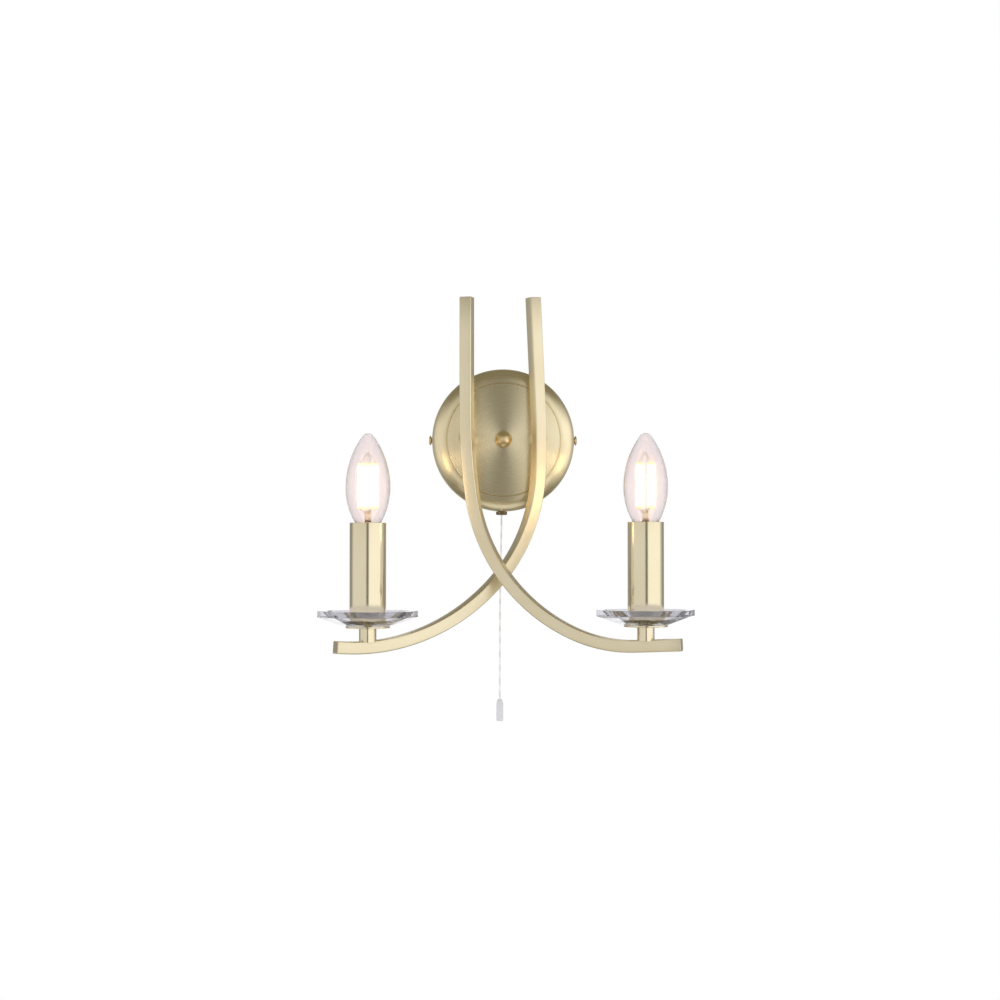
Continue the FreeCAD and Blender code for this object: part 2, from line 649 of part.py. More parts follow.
# ---------------------------------------------------------------- wall bracket and inside
def wall_bracket():
    """Steel strap with two wall screw slots and two tapped end tabs."""
    strap = box("strap", "2 * strap_reach", "strap_thickness", "strap_width",
                "-strap_reach", "-strap_thickness", "-strap_width / 2")
    tabs = []
    for name, place in (("left_tab", "-strap_reach"), ("right_tab", "strap_reach - strap_thickness")):
        tabs.append(box(name, "strap_thickness", "tab_depth", "strap_width", place, "-tab_depth",
                        "-strap_width / 2"))
    blank = fuse("bracket_blank", strap, *tabs)
    drills = [cylinder("tab_drill", "screw_radius + fit_gap", "2 * strap_reach + 2", RIGHT,
                       "-strap_reach - 1", "-side_screw_depth", "0")]
    drills.append(cylinder("cable_drill", "cable_hole_radius", "strap_thickness + 2", FORWARD,
                           "-cable_hole_offset", "1", "0"))
    drills.append(cylinder("earth_drill", "screw_radius + fit_gap", "strap_thickness + 2",
                           FORWARD, "earth_offset", "1", "0"))
    for name, sign in (("left_slot", "-"), ("right_slot", "")):
        middle = f"{sign}slot_spacing / 2"
        straight = box(name + "_run", "slot_length - slot_width", "strap_thickness + 2",
                       "slot_width", f"{middle} - (slot_length - slot_width) / 2",
                       "-strap_thickness - 1", "-slot_width / 2")
        drills.append(straight)
        for end, move in (("inner", "-"), ("outer", "+")):
            drills.append(cylinder(f"{name}_{end}", "slot_width / 2", "strap_thickness + 2",
                                   FORWARD, f"{middle} {move} (slot_length - slot_width) / 2",
                                   "1", "0"))
    node(cut("bracket_cut", blank, *drills), "wall_bracket")
    screw = turned("earth", (("0", "seat_gap"), ("screw_radius", "seat_gap"),
                             ("screw_radius", "strap_thickness"),
                             ("earth_head_radius", "strap_thickness"),
                             ("earth_head_radius", "strap_thickness + earth_head_height"),
                             ("0", "strap_thickness + earth_head_height")),
                   FORWARD, Vector(size("earth_offset"), 0, 0))
    node(screw, "earth_screw")


def reinforcing_bar():
    """Steel bar behind the disc that the arm nuts pull against."""
    bar = box("bar", "2 * bar_reach", "bar_thickness", "bar_width", "-bar_reach",
              "-plate_depth + plate_wall", "-bar_width / 2")
    drills = [cylinder("bar_stud_drill", "stud_radius + fit_gap", "plate_depth", FORWARD)]
    for arm, label in ARMS:
        place = boss_place(arm)
        drill = cylinder(f"bar_{label}_drill", "arm_nipple_radius + fit_gap", "plate_depth",
                         FORWARD)
        clear_place(drill, Vector(place.x, 0, place.z))
        drills.append(drill)
    node(cut("bar_cut", bar, *drills), "reinforcing_bar")


def boss_place(arm):
    """Where the arm's centreline passes the height of the plate's centre."""
    return arm.point(arm.at_height(0.0))


def terminal_block():
    """Three-way block on the strap with its screws."""
    block = box("block", "terminal_width", "terminal_thickness", "terminal_height",
                "terminal_offset - terminal_width / 2", "-strap_thickness - terminal_thickness",
                "-terminal_height / 2")
    drills = []
    screws = []
    for index in (-1, 0, 1):
        place = f"terminal_offset + {index} * terminal_pitch"
        drills.append(cylinder(f"terminal_drill_{index + 2}", "terminal_screw_radius + fit_gap",
                               "terminal_thickness / 2", FORWARD, place,
                               "-strap_thickness - terminal_thickness / 2", "0"))
        screws.append(cylinder(f"terminal_screw_{index + 2}", "terminal_screw_radius",
                               "terminal_thickness / 2 - 1", FORWARD, place,
                               "-strap_thickness - terminal_thickness / 2", "0"))
    node(cut("block_cut", block, *drills), "terminal_block")
    node(group("terminal_screw_group", *screws), "terminal_screws")


# ---------------------------------------------------------------- arms, bosses, nipples
def arm_pieces(arm):
    """The square tube, its boss, nipple and nut. Returns its washer and two end plugs."""
    bar = arm.swept(half_tube, size("tube_corner"))
    inner_corner = size("tube_inner_corner")
    hollow = arm.swept(half_tube - size("tube_wall"), inner_corner)
    place = boss_place(arm)
    wire_hole = Part.makeCylinder(size("wire_hole_radius"), size("tube_size"), place,
                                  Vector(0, 1, 0))
    lamp = lamp_place(arm)
    stem_hole = Part.makeCylinder(size("wire_hole_radius"), size("tube_size"), lamp,
                                  Vector(0, 0, 1))
    tube = bar.cut(hollow).cut(wire_hole).cut(stem_hole)
    node(shaped(arm.name + "_tube", tube), arm.name + "_arm")

    plate_front = -size("plate_depth")
    blank = Part.makeCylinder(size("boss_radius"), plate_front - place.y,
                              Vector(place.x, plate_front, place.z), Vector(0, -1, 0))
    socket = Part.makeCylinder(size("arm_nipple_radius") + size("fit_gap"), size("boss_bite"),
                               Vector(place.x, plate_front, place.z), Vector(0, -1, 0))
    passage = Part.makeCylinder(size("wire_hole_radius"), plate_front - place.y,
                                Vector(place.x, plate_front, place.z), Vector(0, -1, 0))
    boss = blank.cut(bar).cut(socket).cut(passage)
    boss = max(boss.Solids, key=lambda solid: solid.BoundBox.YMax)
    node(shaped(arm.name + "_boss_turned", boss), arm.name + "_arm_boss")

    inside = ("arm_nipple_tail + arm_nut_height + washer_thickness + bar_thickness"
              " + plate_wall + boss_bite - seat_gap")
    tail = (size("arm_nipple_tail") + size("arm_nut_height") + size("washer_thickness")
            + size("bar_thickness") + size("plate_wall"))
    nipple_back = Vector(place.x, plate_front + tail, place.z)
    rod = cylinder(arm.name + "_nipple_rod", "arm_nipple_radius", inside, FORWARD)
    clear_place(rod, nipple_back)
    bore = cylinder(arm.name + "_nipple_bore", "arm_nipple_bore", inside, FORWARD)
    clear_place(bore, nipple_back)
    node(cut(arm.name + "_nipple_cut", rod, bore), arm.name + "_arm_nipple")

    seat = plate_front + size("plate_wall") + size("bar_thickness")
    ring = cylinder(arm.name + "_washer_ring", "washer_radius", "washer_thickness", FORWARD)
    clear_place(ring, Vector(place.x, seat + size("washer_thickness"), place.z))
    eye = cylinder(arm.name + "_washer_eye", "arm_nipple_radius + fit_gap",
                   "washer_thickness", FORWARD)
    clear_place(eye, Vector(place.x, seat + size("washer_thickness"), place.z))
    washer = cut(arm.name + "_washer", ring, eye)
    nut_back = seat + size("washer_thickness") + size("arm_nut_height")
    nut = hexagon_nut(arm.name + "_nut", "arm_nut_corner", "arm_nut_height",
                      "arm_nipple_radius + fit_gap", FORWARD, Vector(place.x, nut_back, place.z))
    node(nut, arm.name + "_arm_nut")

    plug_half = half_tube - size("tube_wall") - size("fit_gap")
    lean = -math.radians(size(arm.name + "_lean"))
    down = arm.along * math.sin(lean) + Vector(0, 0, -math.cos(lean))
    inward = arm.along * math.cos(lean) + Vector(0, 0, math.sin(lean))
    top_plug = rounded_square(arm.top, inward, arm.across, plug_half, inner_corner)
    tip, direction, heading = arm.end()
    upward = arm.along * math.cos(heading) + Vector(0, 0, math.sin(heading))
    end_plug = rounded_square(tip, upward, arm.across, plug_half, inner_corner)
    length = size("plug_length")
    plugs = [shaped(arm.name + "_top_plug", top_plug.extrude(down * length)),
             shaped(arm.name + "_end_plug", end_plug.extrude(direction * -length))]
    return washer, plugs


def lamp_place(arm):
    """Centre of the arm's section under the lamp."""
    below, heading = arm.at_reach(size("lamp_reach"))
    return arm.point((size("lamp_reach"), below))


def lamp_seat(arm):
    """Point on the arm's upper face on the lamp's axis."""
    below, heading = arm.at_reach(size("lamp_reach"))
    place = arm.point((size("lamp_reach"), below))
    return place + Vector(0, 0, half_tube / math.sin(heading))


def arm_lead(arm, label, terminal_side):
    """Wiring from the terminal block through the boss and the arm to the lampholder."""
    boss = boss_place(arm)
    seat = lamp_seat(arm)
    block_x = size("terminal_offset") + terminal_side * size("terminal_pitch")
    block_y = -size("strap_thickness") - size("lead_block_depth")
    block_top = size("terminal_height") / 2
    rise = block_top + size("lead_clear")
    entry_y = -size("strap_thickness") - size("lead_entry_depth")
    points = [Vector(block_x, block_y, block_top), Vector(block_x, block_y, rise),
              Vector(boss.x, entry_y, rise), Vector(boss.x, entry_y, boss.z),
              Vector(boss.x, boss.y, boss.z)]
    bends = [size("lead_loop"), size("lead_turn"), size("lead_turn")]
    step = size("lamp_reach") / 8
    for reach, below, heading in arm.spots(step):
        if arm.top.z + below < boss.z - step and reach < size("lamp_reach") - step:
            points.append(arm.point((reach, below)))
    points.append(lamp_place(arm))
    top = seat.z + stack_height("holder") + size("holder_neck_height")
    points.append(Vector(seat.x, seat.y, top))
    while len(bends) < len(points) - 2:
        index = len(bends) + 1
        before = (points[index] - points[index - 1]).Length
        after = (points[index + 1] - points[index]).Length
        turn = math.pi - (points[index - 1] - points[index]).getAngle(
            points[index + 1] - points[index])
        easy = EASY_SHARE * min(before, after) / math.tan(turn / 2)
        bends.append(size("lead_bend") if turn > SHARP_TURN else easy)
    tube = tube_along(rounded_route(points, bends), size("lead_radius"))
    node(shaped(label + "_wiring", tube), label + "_lead")


# ---------------------------------------------------------------- lamps
def stack_height(piece):
    """Height of a piece's foot above the arm, from what it stands on."""
    heights = {"flange": size("stem_height")}
    heights["dish"] = heights["flange"] + size("flange_height")
    heights["candle"] = heights["dish"] + size("dish_height") - size("dish_recess_depth")
    heights["holder"] = heights["candle"] + size("lamp_nut_height")
    body = size("holder_neck_height") + size("holder_cone_height") + size("holder_body_height")
    heights["holder_top"] = heights["holder"] + body
    heights["socket_floor"] = heights["holder_top"] - size("holder_socket_depth")
    heights["bulb"] = heights["socket_floor"] + size("contact_height") + size("seat_gap")
    return heights[piece]


def above(seat, piece):
    return Vector(seat.x, seat.y, seat.z + stack_height(piece))


def lamp_pieces(arm, label):
    """Stem, flange, dish, candle tube and lampholder on one arm."""
    seat = lamp_seat(arm)
    bar = arm.swept(half_tube, size("tube_corner"))
    sink = size("tube_corner")
    stem = Part.makeCylinder(size("stem_radius"), size("stem_height") + sink,
                             seat - Vector(0, 0, sink))
    tapped = Part.makeCylinder(size("lamp_nipple_radius") + size("fit_gap"),
                               size("stem_height") + 2 * sink, seat - Vector(0, 0, sink))
    stem = max(stem.cut(bar).cut(tapped).Solids, key=lambda solid: solid.Volume)
    node(shaped(label + "_stem_turned", stem), label + "_stem")

    flange = turned(label + "_flange_disc",
                    (("lamp_nipple_radius + fit_gap", "0"), ("flange_foot_radius", "0"),
                     ("flange_radius", "flange_chamfer"), ("flange_radius", "flange_height"),
                     ("lamp_nipple_radius + fit_gap", "flange_height")), UP, above(seat, "flange"))
    node(flange, label + "_flange")
    crystal_dish(label, above(seat, "dish"))

    candle = turned(label + "_candle",
                    (("candle_radius - candle_wall", "0"), ("candle_radius", "0"),
                     ("candle_radius", "candle_height"),
                     ("candle_radius - candle_wall", "candle_height")), UP,
                    above(seat, "candle"))
    node(candle, label + "_candle_tube")

    nut = hexagon_nut(label + "_lamp_nut_hex", "lamp_nut_corner", "lamp_nut_height",
                      "lamp_nipple_radius + fit_gap", UP, above(seat, "candle"))
    node(nut, label + "_lamp_nut")
    foot = seat.z + size("stem_height") - size("lamp_nipple_bite")
    top = above(seat, "holder").z + size("holder_thread_depth") - size("seat_gap")
    rod = Part.makeCylinder(size("lamp_nipple_radius"), top - foot, Vector(seat.x, seat.y, foot))
    bore = Part.makeCylinder(size("lamp_nipple_bore"), top - foot, Vector(seat.x, seat.y, foot))
    node(shaped(label + "_lamp_nipple_tube", rod.cut(bore)), label + "_lamp_nipple")

    taper = "holder_neck_height + holder_cone_height"
    top = f"{taper} + holder_body_height"
    floor = f"{top} - holder_socket_depth"
    socket = "shell_radius + fit_gap"
    holder = turned(label + "_holder",
                    (("lamp_nipple_radius + fit_gap", "0"), ("holder_neck_radius", "0"),
                     ("holder_neck_radius", "holder_neck_height"), ("holder_radius", taper),
                     ("holder_radius", top), (socket, top), (socket, floor),
                     ("lamp_nipple_bore", floor), ("lamp_nipple_bore", "holder_thread_depth"),
                     ("lamp_nipple_radius + fit_gap", "holder_thread_depth")), UP,
                    above(seat, "holder"))
    node(holder, label + "_lampholder")

    shell_foot = above(seat, "bulb") + Vector(0, 0, size("tip_height") + size("insulator_height"))
    shell = turned(label + "_shell",
                   (("shell_radius - shell_wall", "0"), ("shell_radius", "0"),
                    ("shell_radius", "shell_height"),
                    ("shell_radius - shell_wall", "shell_height")), UP, shell_foot)
    node(shell, label + "_thread_shell")
    contact = turned(label + "_contact",
                     (("0", "0"), ("contact_radius", "0"), ("contact_radius", "contact_height / 2"),
                      ("contact_top_radius", "contact_height"), ("0", "contact_height")), UP,
                     above(seat, "socket_floor"))
    node(contact, label + "_centre_contact")
    candle_bulb(label, above(seat, "bulb"))


def crystal_dish(label, base):
    """Eight-sided crystal dish with an upright rim band and a shallow round hollow."""
    rings = []
    levels = (("dish_foot_radius", 0.0), ("dish_corner_radius",
              size("dish_height") - size("dish_rim_height")),
              ("dish_corner_radius", size("dish_height")))
    turn = Rotation(Vector(0, 0, 1), size("dish_turn"))
    for index, (corner, height) in enumerate(levels):
        ring = document.addObject("Part::RegularPolygon", f"{label}_dish_ring_{index + 1}")
        ring.Polygon = 8
        bind(ring, Circumradius=corner)
        ring.Placement = Placement(base + Vector(0, 0, height), turn)
        rings.append(ring)
    block = document.addObject("Part::Loft", label + "_dish_block")
    block.Sections = rings
    block.Solid = True
    block.Ruled = True
    hollow = document.addObject("Part::Cone", label + "_dish_hollow")
    bind(hollow, Radius1="dish_recess_floor", Radius2="dish_recess_top",
         Height="dish_recess_depth")
    floor = size("dish_height") - size("dish_recess_depth")
    hollow.Placement = Placement(base + Vector(0, 0, floor), UP)
    hole = document.addObject("Part::Cylinder", label + "_dish_hole")
    bind(hole, Radius="lamp_nipple_radius + fit_gap", Height="dish_height")
    hole.Placement = Placement(base, UP)
    node(cut(label + "_dish_cut", block, hollow, hole), label + "_crystal_dish")


def glass_solid(inset, base):
    """The candle bulb's glass drawn in by an inset: two arcs that meet at the waist, and a tip."""
    radius = size("glass_radius")
    waist = size("glass_wide_height")
    tip_round = size("glass_tip_radius")
    rise = size("glass_height") - tip_round - waist
    narrowing = radius - size("cap_skirt_radius") + size("cap_wall") + size("fit_gap")
    belly = (waist ** 2 + narrowing ** 2) / (2 * narrowing)
    # The crown's arc is the one that leaves the waist upright and touches the tip's round.
    crown = (radius ** 2 + rise ** 2 - tip_round ** 2) / (2 * (radius - tip_round))
    low_centre = Vector(radius - belly, 0, waist)
    high_centre = Vector(radius - crown, 0, waist)
    tip_centre = Vector(0, 0, waist + rise)
    toward = (tip_centre - high_centre).normalize()
    join = high_centre + toward * (crown - inset)
    flank = (Vector(1, 0, 0) + toward).normalize()
    top = Vector(0, 0, size("glass_height") - inset)
    side = (Vector(0, 0, 1) + toward).normalize()
    foot = Vector(low_centre.x + math.sqrt((belly - inset) ** 2 - waist ** 2), 0, 0)
    wide = Vector(radius - inset, 0, waist)
    below = (Vector(1, 0, 0) + (foot - low_centre).normalize()).normalize()
    edges = [Part.LineSegment(Vector(0, 0, 0), foot).toShape(),
             Part.Arc(foot, low_centre + below * (belly - inset), wide).toShape(),
             Part.Arc(wide, high_centre + flank * (crown - inset), join).toShape(),
             Part.Arc(join, tip_centre + side * (tip_round - inset), top).toShape(),
             Part.LineSegment(top, Vector(0, 0, 0)).toShape()]
    spun = Part.Face(Part.Wire(edges)).revolve(Vector(0, 0, 0), Vector(0, 0, 1), 360)
    spun.translate(base)
    return spun


def candle_bulb(label, base):
    """Clear candle bulb: contact, insulator, cap, glass, glass stem and filament rods."""
    tip = turned(label + "_tip", (("0", "0"), ("tip_radius", "0"), ("tip_radius", "tip_height"),
                                  ("0", "tip_height")), UP, base)
    insulator_base = base + Vector(0, 0, size("tip_height"))
    insulator = turned(label + "_insulator",
                       (("0", "0"), ("tip_radius + insulator_spread", "0"),
                        ("cap_radius - cap_wall", "insulator_height"),
                        ("0", "insulator_height")), UP, insulator_base)
    node(group(label + "_bulb_foot", tip, insulator), label + "_bulb_contact")
    cap_base = insulator_base + Vector(0, 0, size("insulator_height"))
    top = "cap_height + cap_skirt_height"
    inside = "cap_radius - cap_wall"
    skirt = "cap_skirt_radius - cap_wall"
    cap = turned(label + "_cap",
                 ((inside, "0"), ("cap_radius", "0"), ("cap_radius", "cap_height"),
                  ("cap_skirt_radius", top), (skirt, top), (inside, "cap_height")), UP, cap_base)
    node(cap, label + "_bulb_cap")
    glass_base = cap_base + Vector(0, 0, size("cap_height") + size("cap_skirt_height"))
    glass = glass_solid(0.0, glass_base).cut(glass_solid(size("glass_wall"), glass_base))
    node(shaped(label + "_glass", glass), label + "_bulb_glass")
    stem_base = glass_base
    flare = "cap_skirt_radius - cap_wall - 4 * fit_gap - glass_wall"
    stem = turned(label + "_stem_glass",
                  (("0", "0"), (flare, "0"), ("stem_glass_radius", "stem_glass_flare"),
                   ("stem_glass_top", "stem_glass_height"),
                   ("0", "stem_glass_height + stem_glass_tip")), UP, stem_base)
    node(stem, label + "_bulb_stem")
    filament_foot = stem_base + Vector(0, 0, size("stem_glass_height") + size("support_rise"))
    rods = []
    wires = []
    stem_top = stem_base + Vector(0, 0, size("stem_glass_height") - size("support_rise"))
    count = int(size("filament_count"))
    crown = filament_foot + Vector(0, 0, size("filament_length") + size("crown_rise"))
    for index in range(count):
        angle = 2 * math.pi * index / count + math.radians(size("filament_turn"))
        outward = Vector(math.cos(angle), math.sin(angle), 0)
        foot = filament_foot + outward * size("filament_spread")
        rod = Part.makeCylinder(size("filament_radius"), size("filament_length"), foot)
        rods.append(rod)
        low = stem_top + outward * (size("stem_glass_top") / 2)
        wires.append(straight_wire(low, foot, size("support_radius")))
        wires.append(straight_wire(foot + Vector(0, 0, size("filament_length")), crown,
                                   size("support_radius")))
    node(shaped(label + "_rods", Part.makeCompound(rods)), label + "_bulb_filaments")
    joined = wires[0].multiFuse(wires[1:])
    joined = joined.cut(Part.makeCompound(rods)).cut(bulb_stem_solid(stem_base))
    node(shaped(label + "_wires", joined), label + "_bulb_supports")


def bulb_stem_solid(base):
    """The glass stem's taper, which the support wires end on."""
    flare = size("stem_glass_flare")
    return Part.makeCone(size("stem_glass_radius"), size("stem_glass_top"),
                         size("stem_glass_height") - flare, base + Vector(0, 0, flare))


def straight_wire(start, finish, radius):
    reach = finish - start
    return Part.makeCylinder(radius, reach.Length, start, reach)


# ---------------------------------------------------------------- pull switch and cord
def switch_levels():
    """Heights of the pull switch's pieces, up from the cord outlet."""
    rim = -size("plate_radius")
    levels = {"collar_top": rim - size("seat_gap")}
    levels["mouth"] = levels["collar_top"] - size("outlet_height")
    inner = rim + size("plate_wall")
    levels["nut"] = inner + size("outlet_nut_gap")
    levels["eye"] = levels["mouth"] + size("eye_rise")
    levels["cord"] = levels["eye"] - size("eye_radius") - size("eye_gap")
    levels["floor"] = levels["nut"] + size("outlet_nut_height") + size("seat_gap")
    levels["cavity"] = levels["floor"] + size("switch_wall")
    levels["slider"] = levels["cavity"] + size("spring_height")
    levels["lid"] = levels["floor"] + size("switch_height")
    return levels


def pull_switch():
    """Switch body with its cover, contacts, slider, return spring and cord outlet."""
    levels = switch_levels()
    axis = Vector(-size("outlet_offset"), -size("outlet_depth"), 0)
    half = size("switch_width") / 2
    deep = size("switch_thickness")
    wall = size("switch_wall")
    corner = axis + Vector(-half, -deep / 2, levels["floor"])
    shell = Part.makeBox(2 * half, deep, size("switch_height"), corner)
    room = Part.makeBox(2 * (half - wall), deep - 2 * wall, size("switch_height") - wall,
                        corner + Vector(wall, wall, wall))
    pin_way = Part.makeCylinder(size("outlet_bore"), 4 * wall,
                                axis + Vector(0, 0, levels["floor"] - wall))
    node(shaped("switch_shell", shell.cut(room).cut(pin_way)), "switch_body")
    cover = Part.makeBox(2 * half, deep, size("switch_lid"), axis + Vector(-half, -deep / 2,
                                                                         levels["lid"]))
    node(shaped("switch_lid_plate", cover), "switch_cover")

    strips = []
    thickness = size("contact_thickness")
    for side in (-1, 1):
        inner_face = side * (half - wall)
        low = min(inner_face, inner_face - side * thickness)
        strips.append(Part.makeBox(thickness, deep / 3, size("slider_height"),
                                   axis + Vector(low, -deep / 6, levels["slider"])))
    node(shaped("contact_strips", Part.makeCompound(strips)), "switch_contacts")

    gap = size("seat_gap")
    block_half = half - wall - thickness - gap
    block_deep = deep - 2 * wall - 2 * gap
    block = Part.makeBox(2 * block_half, block_deep, size("slider_height"),
                         axis + Vector(-block_half, -block_deep / 2, levels["slider"]))
    pin = Part.makeCylinder(size("slider_pin_radius"), levels["slider"] - levels["eye"],
                            axis + Vector(0, 0, levels["eye"]))
    eye = Part.makeCylinder(size("eye_radius"), size("eye_width"),
                            axis + Vector(0, size("eye_width") / 2, levels["eye"]),
                            Vector(0, -1, 0))
    node(shaped("slider_block", block.fuse([pin, eye]).removeSplitter()), "switch_slider")

    sleeve = Part.makeCylinder(size("spring_radius"), size("spring_height") - gap,
                               axis + Vector(0, 0, levels["cavity"]))
    core = Part.makeCylinder(size("spring_radius") - size("spring_wire"), size("spring_height"),
                             axis + Vector(0, 0, levels["cavity"]))
    node(shaped("spring_sleeve", sleeve.cut(core)), "return_spring")

    neck_top = levels["floor"] - gap
    collar = Part.makeCylinder(size("outlet_radius"), size("outlet_height"),
                               axis + Vector(0, 0, levels["mouth"]))
    rounded = collar.makeFillet(size("outlet_round"), [collar.Edges[2]])
    neck = Part.makeCylinder(size("outlet_neck_radius"), neck_top - levels["collar_top"],
                             axis + Vector(0, 0, levels["collar_top"]))
    bore = Part.makeCylinder(size("outlet_bore"), neck_top - levels["mouth"],
                             axis + Vector(0, 0, levels["mouth"]))
    mouth_flare = size("outlet_flare")
    flare = Part.makeCone(size("outlet_bore") + mouth_flare, size("outlet_bore"), mouth_flare,
                          axis + Vector(0, 0, levels["mouth"]))
    outlet = rounded.fuse(neck).cut(bore).cut(flare)
    node(shaped("outlet_turned", outlet.removeSplitter()), "cord_outlet")
    nut = hexagon_nut("outlet_nut_hex", "outlet_nut_corner", "outlet_nut_height",
                      "outlet_neck_radius + fit_gap", UP, axis + Vector(0, 0, levels["nut"]))
    node(nut, "outlet_nut")


def cord_route():
    """Points of the pull cord: it leaves its outlet straight and hangs down."""
    levels = switch_levels()
    start = Vector(-size("outlet_offset"), -size("outlet_depth"), levels["cord"])
    drift = -size("cord_drift")
    drop = -size("cord_drop")
    upper = Vector(drift * CORD_UPPER[0], 0, drop * CORD_UPPER[1])
    lower = Vector(drift * CORD_LOWER[0], 0, drop * CORD_LOWER[1])
    return [start, start + upper, start + lower, start + Vector(drift, 0, drop)]


def pull_cord():
    """The thin cord and the pull on its end."""
    points = cord_route()
    bends = []
    for index in (1, 2):
        before = points[index - 1] - points[index]
        after = points[index + 1] - points[index]
        turn = math.pi - before.getAngle(after)
        bends.append(EASY_SHARE * min(before.Length, after.Length) / math.tan(turn / 2))
    wire = rounded_route(points, bends)
    tube = tube_along(wire, size("cord_radius"))
    print("cord bend radii", [round(bend) for bend in bends], "length", round(wire.Length, 1))
    print("cord volume / section x length",
          round(tube.Volume / (wire.Length * math.pi * size("cord_radius") ** 2), 4))
    node(shaped("cord_tube", tube), "pull_cord")
    end = points[-1]
    pull = turned("pull_body", (("0", "0"), ("pull_mouth_radius", "0"),
                                ("pull_top_radius", "pull_mouth_height"),
                                ("pull_radius", "pull_cone_height"),
                                ("pull_radius", "pull_length"), ("0", "pull_length")),
                  DOWN, end)
    soften(pull, "pull_round", lambda radius, height: near(radius, size("pull_radius"))
           and near(height, size("pull_length")), "pull_foot")
    node(pull, "cord_pull")


wall_bracket()
backplate()
centre_knob()
side_screws()
reinforcing_bar()
terminal_block()
washers = []
plugs = []
for arm, label in ARMS:
    washer, ends = arm_pieces(arm)
    washers.append(washer)
    plugs.extend(ends)
node(group("washer_pair", *washers), "arm_lock_washers")
node(group("plug_set", *plugs), "arm_end_plugs")
for arm, label in ARMS:
    lamp_pieces(arm, label)
arm_lead(front, "right", -1)
arm_lead(back, "left", 1)
pull_switch()
pull_cord()
sheet.clear("E1")
document.recompute()

for item in document.Objects:
    if "Invalid" in item.State or "Error" in item.State:
        raise RuntimeError(f"{item.Label} failed to recompute: {item.State}")
for item in nodes:
    if item.Shape.isNull() or not item.Shape.isValid() or not item.Shape.Solids:
        raise RuntimeError(f"{item.Label} has no valid solid")

os.makedirs("parts", exist_ok=True)
for item in nodes:
    item.Shape.exportStep(f"parts/{item.Label}.step")
    print(item.Label, len(item.Shape.Solids), round(item.Shape.Volume, 1))
gap = [item for item in nodes if item.Label in ("front_arm", "back_arm")]
print("crossing clearance", round(gap[0].Shape.distToShape(gap[1].Shape)[0], 2))
print(len(nodes), "nodes")
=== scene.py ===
"""Double arm wall light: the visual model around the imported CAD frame.

Metres, the frame's own axes: the wall is the plane y = 0, the lamps stand in front at -y.
"""

import math
from types import SimpleNamespace

import bmesh
import bpy
from bpy.props import (
    FloatProperty,
    FloatVectorProperty,
    IntProperty,
    PointerProperty,
)
from mathutils import Matrix, Vector


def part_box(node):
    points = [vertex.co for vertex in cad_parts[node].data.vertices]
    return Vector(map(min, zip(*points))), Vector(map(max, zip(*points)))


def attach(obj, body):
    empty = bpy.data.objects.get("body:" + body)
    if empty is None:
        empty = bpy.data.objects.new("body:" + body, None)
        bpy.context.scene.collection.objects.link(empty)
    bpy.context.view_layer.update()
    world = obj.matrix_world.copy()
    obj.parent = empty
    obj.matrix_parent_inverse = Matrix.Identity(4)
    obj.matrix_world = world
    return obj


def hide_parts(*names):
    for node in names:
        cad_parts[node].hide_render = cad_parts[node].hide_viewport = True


bl_info = {
    "name": "Double Arm Wall Light",
    "version": (1, 0, 0),
    "blender": (4, 5, 0),
    "location": "View3D > Sidebar > Wall Light",
    "description": "Builds the pieces, finishes and studio of a double arm wall light",
    "category": "Add Mesh",
}

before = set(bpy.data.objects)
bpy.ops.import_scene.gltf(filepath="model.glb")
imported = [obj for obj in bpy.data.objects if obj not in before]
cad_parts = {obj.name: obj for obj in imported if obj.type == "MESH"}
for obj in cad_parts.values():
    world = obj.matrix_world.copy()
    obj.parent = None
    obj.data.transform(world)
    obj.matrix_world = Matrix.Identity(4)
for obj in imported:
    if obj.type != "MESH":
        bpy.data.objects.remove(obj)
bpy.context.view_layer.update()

MM = 0.001
UP = Vector((0.0, 0.0, 1.0))
FORWARD = Vector((0.0, -1.0, 0.0))


# ---------------------------------------------------------------- colour and node helpers
def linear(colour):
    """Linear RGBA, from an sRGB hex value such as D8C89A or from a colour property."""
    if not isinstance(colour, str):
        return tuple(colour)
    channels = []
    for start in (0, 2, 4):
        value = int(colour[start:start + 2], 16) / 255
        if value <= 0.04045:
            channels.append(value / 12.92)
        else:
            channels.append(((value + 0.055) / 1.055) ** 2.4)
    return (*channels, 1.0)


def add(tree, kind, settings=None, inputs=None):
    """Add a node, set its own settings, and set or link its inputs.

    The setting stops fills a colour ramp with pairs of a position and a colour.
    """
    made = tree.nodes.new(kind)
    for name, value in (settings or {}).items():
        if name != "stops":
            setattr(made, name, value)
            continue
        elements = made.color_ramp.elements
        while len(elements) < len(value):
            elements.new(0.5)
        for element, (position, colour) in zip(elements, value):
            element.position = position
            element.color = linear(colour)
    for name, value in (inputs or {}).items():
        if isinstance(value, bpy.types.NodeSocket):
            tree.links.new(value, made.inputs[name])
        else:
            made.inputs[name].default_value = value
    return made


def new_material(name):
    """An empty node material and its tree."""
    material = bpy.data.materials.new(name)
    material.use_nodes = True
    material.node_tree.nodes.clear()
    return material, material.node_tree


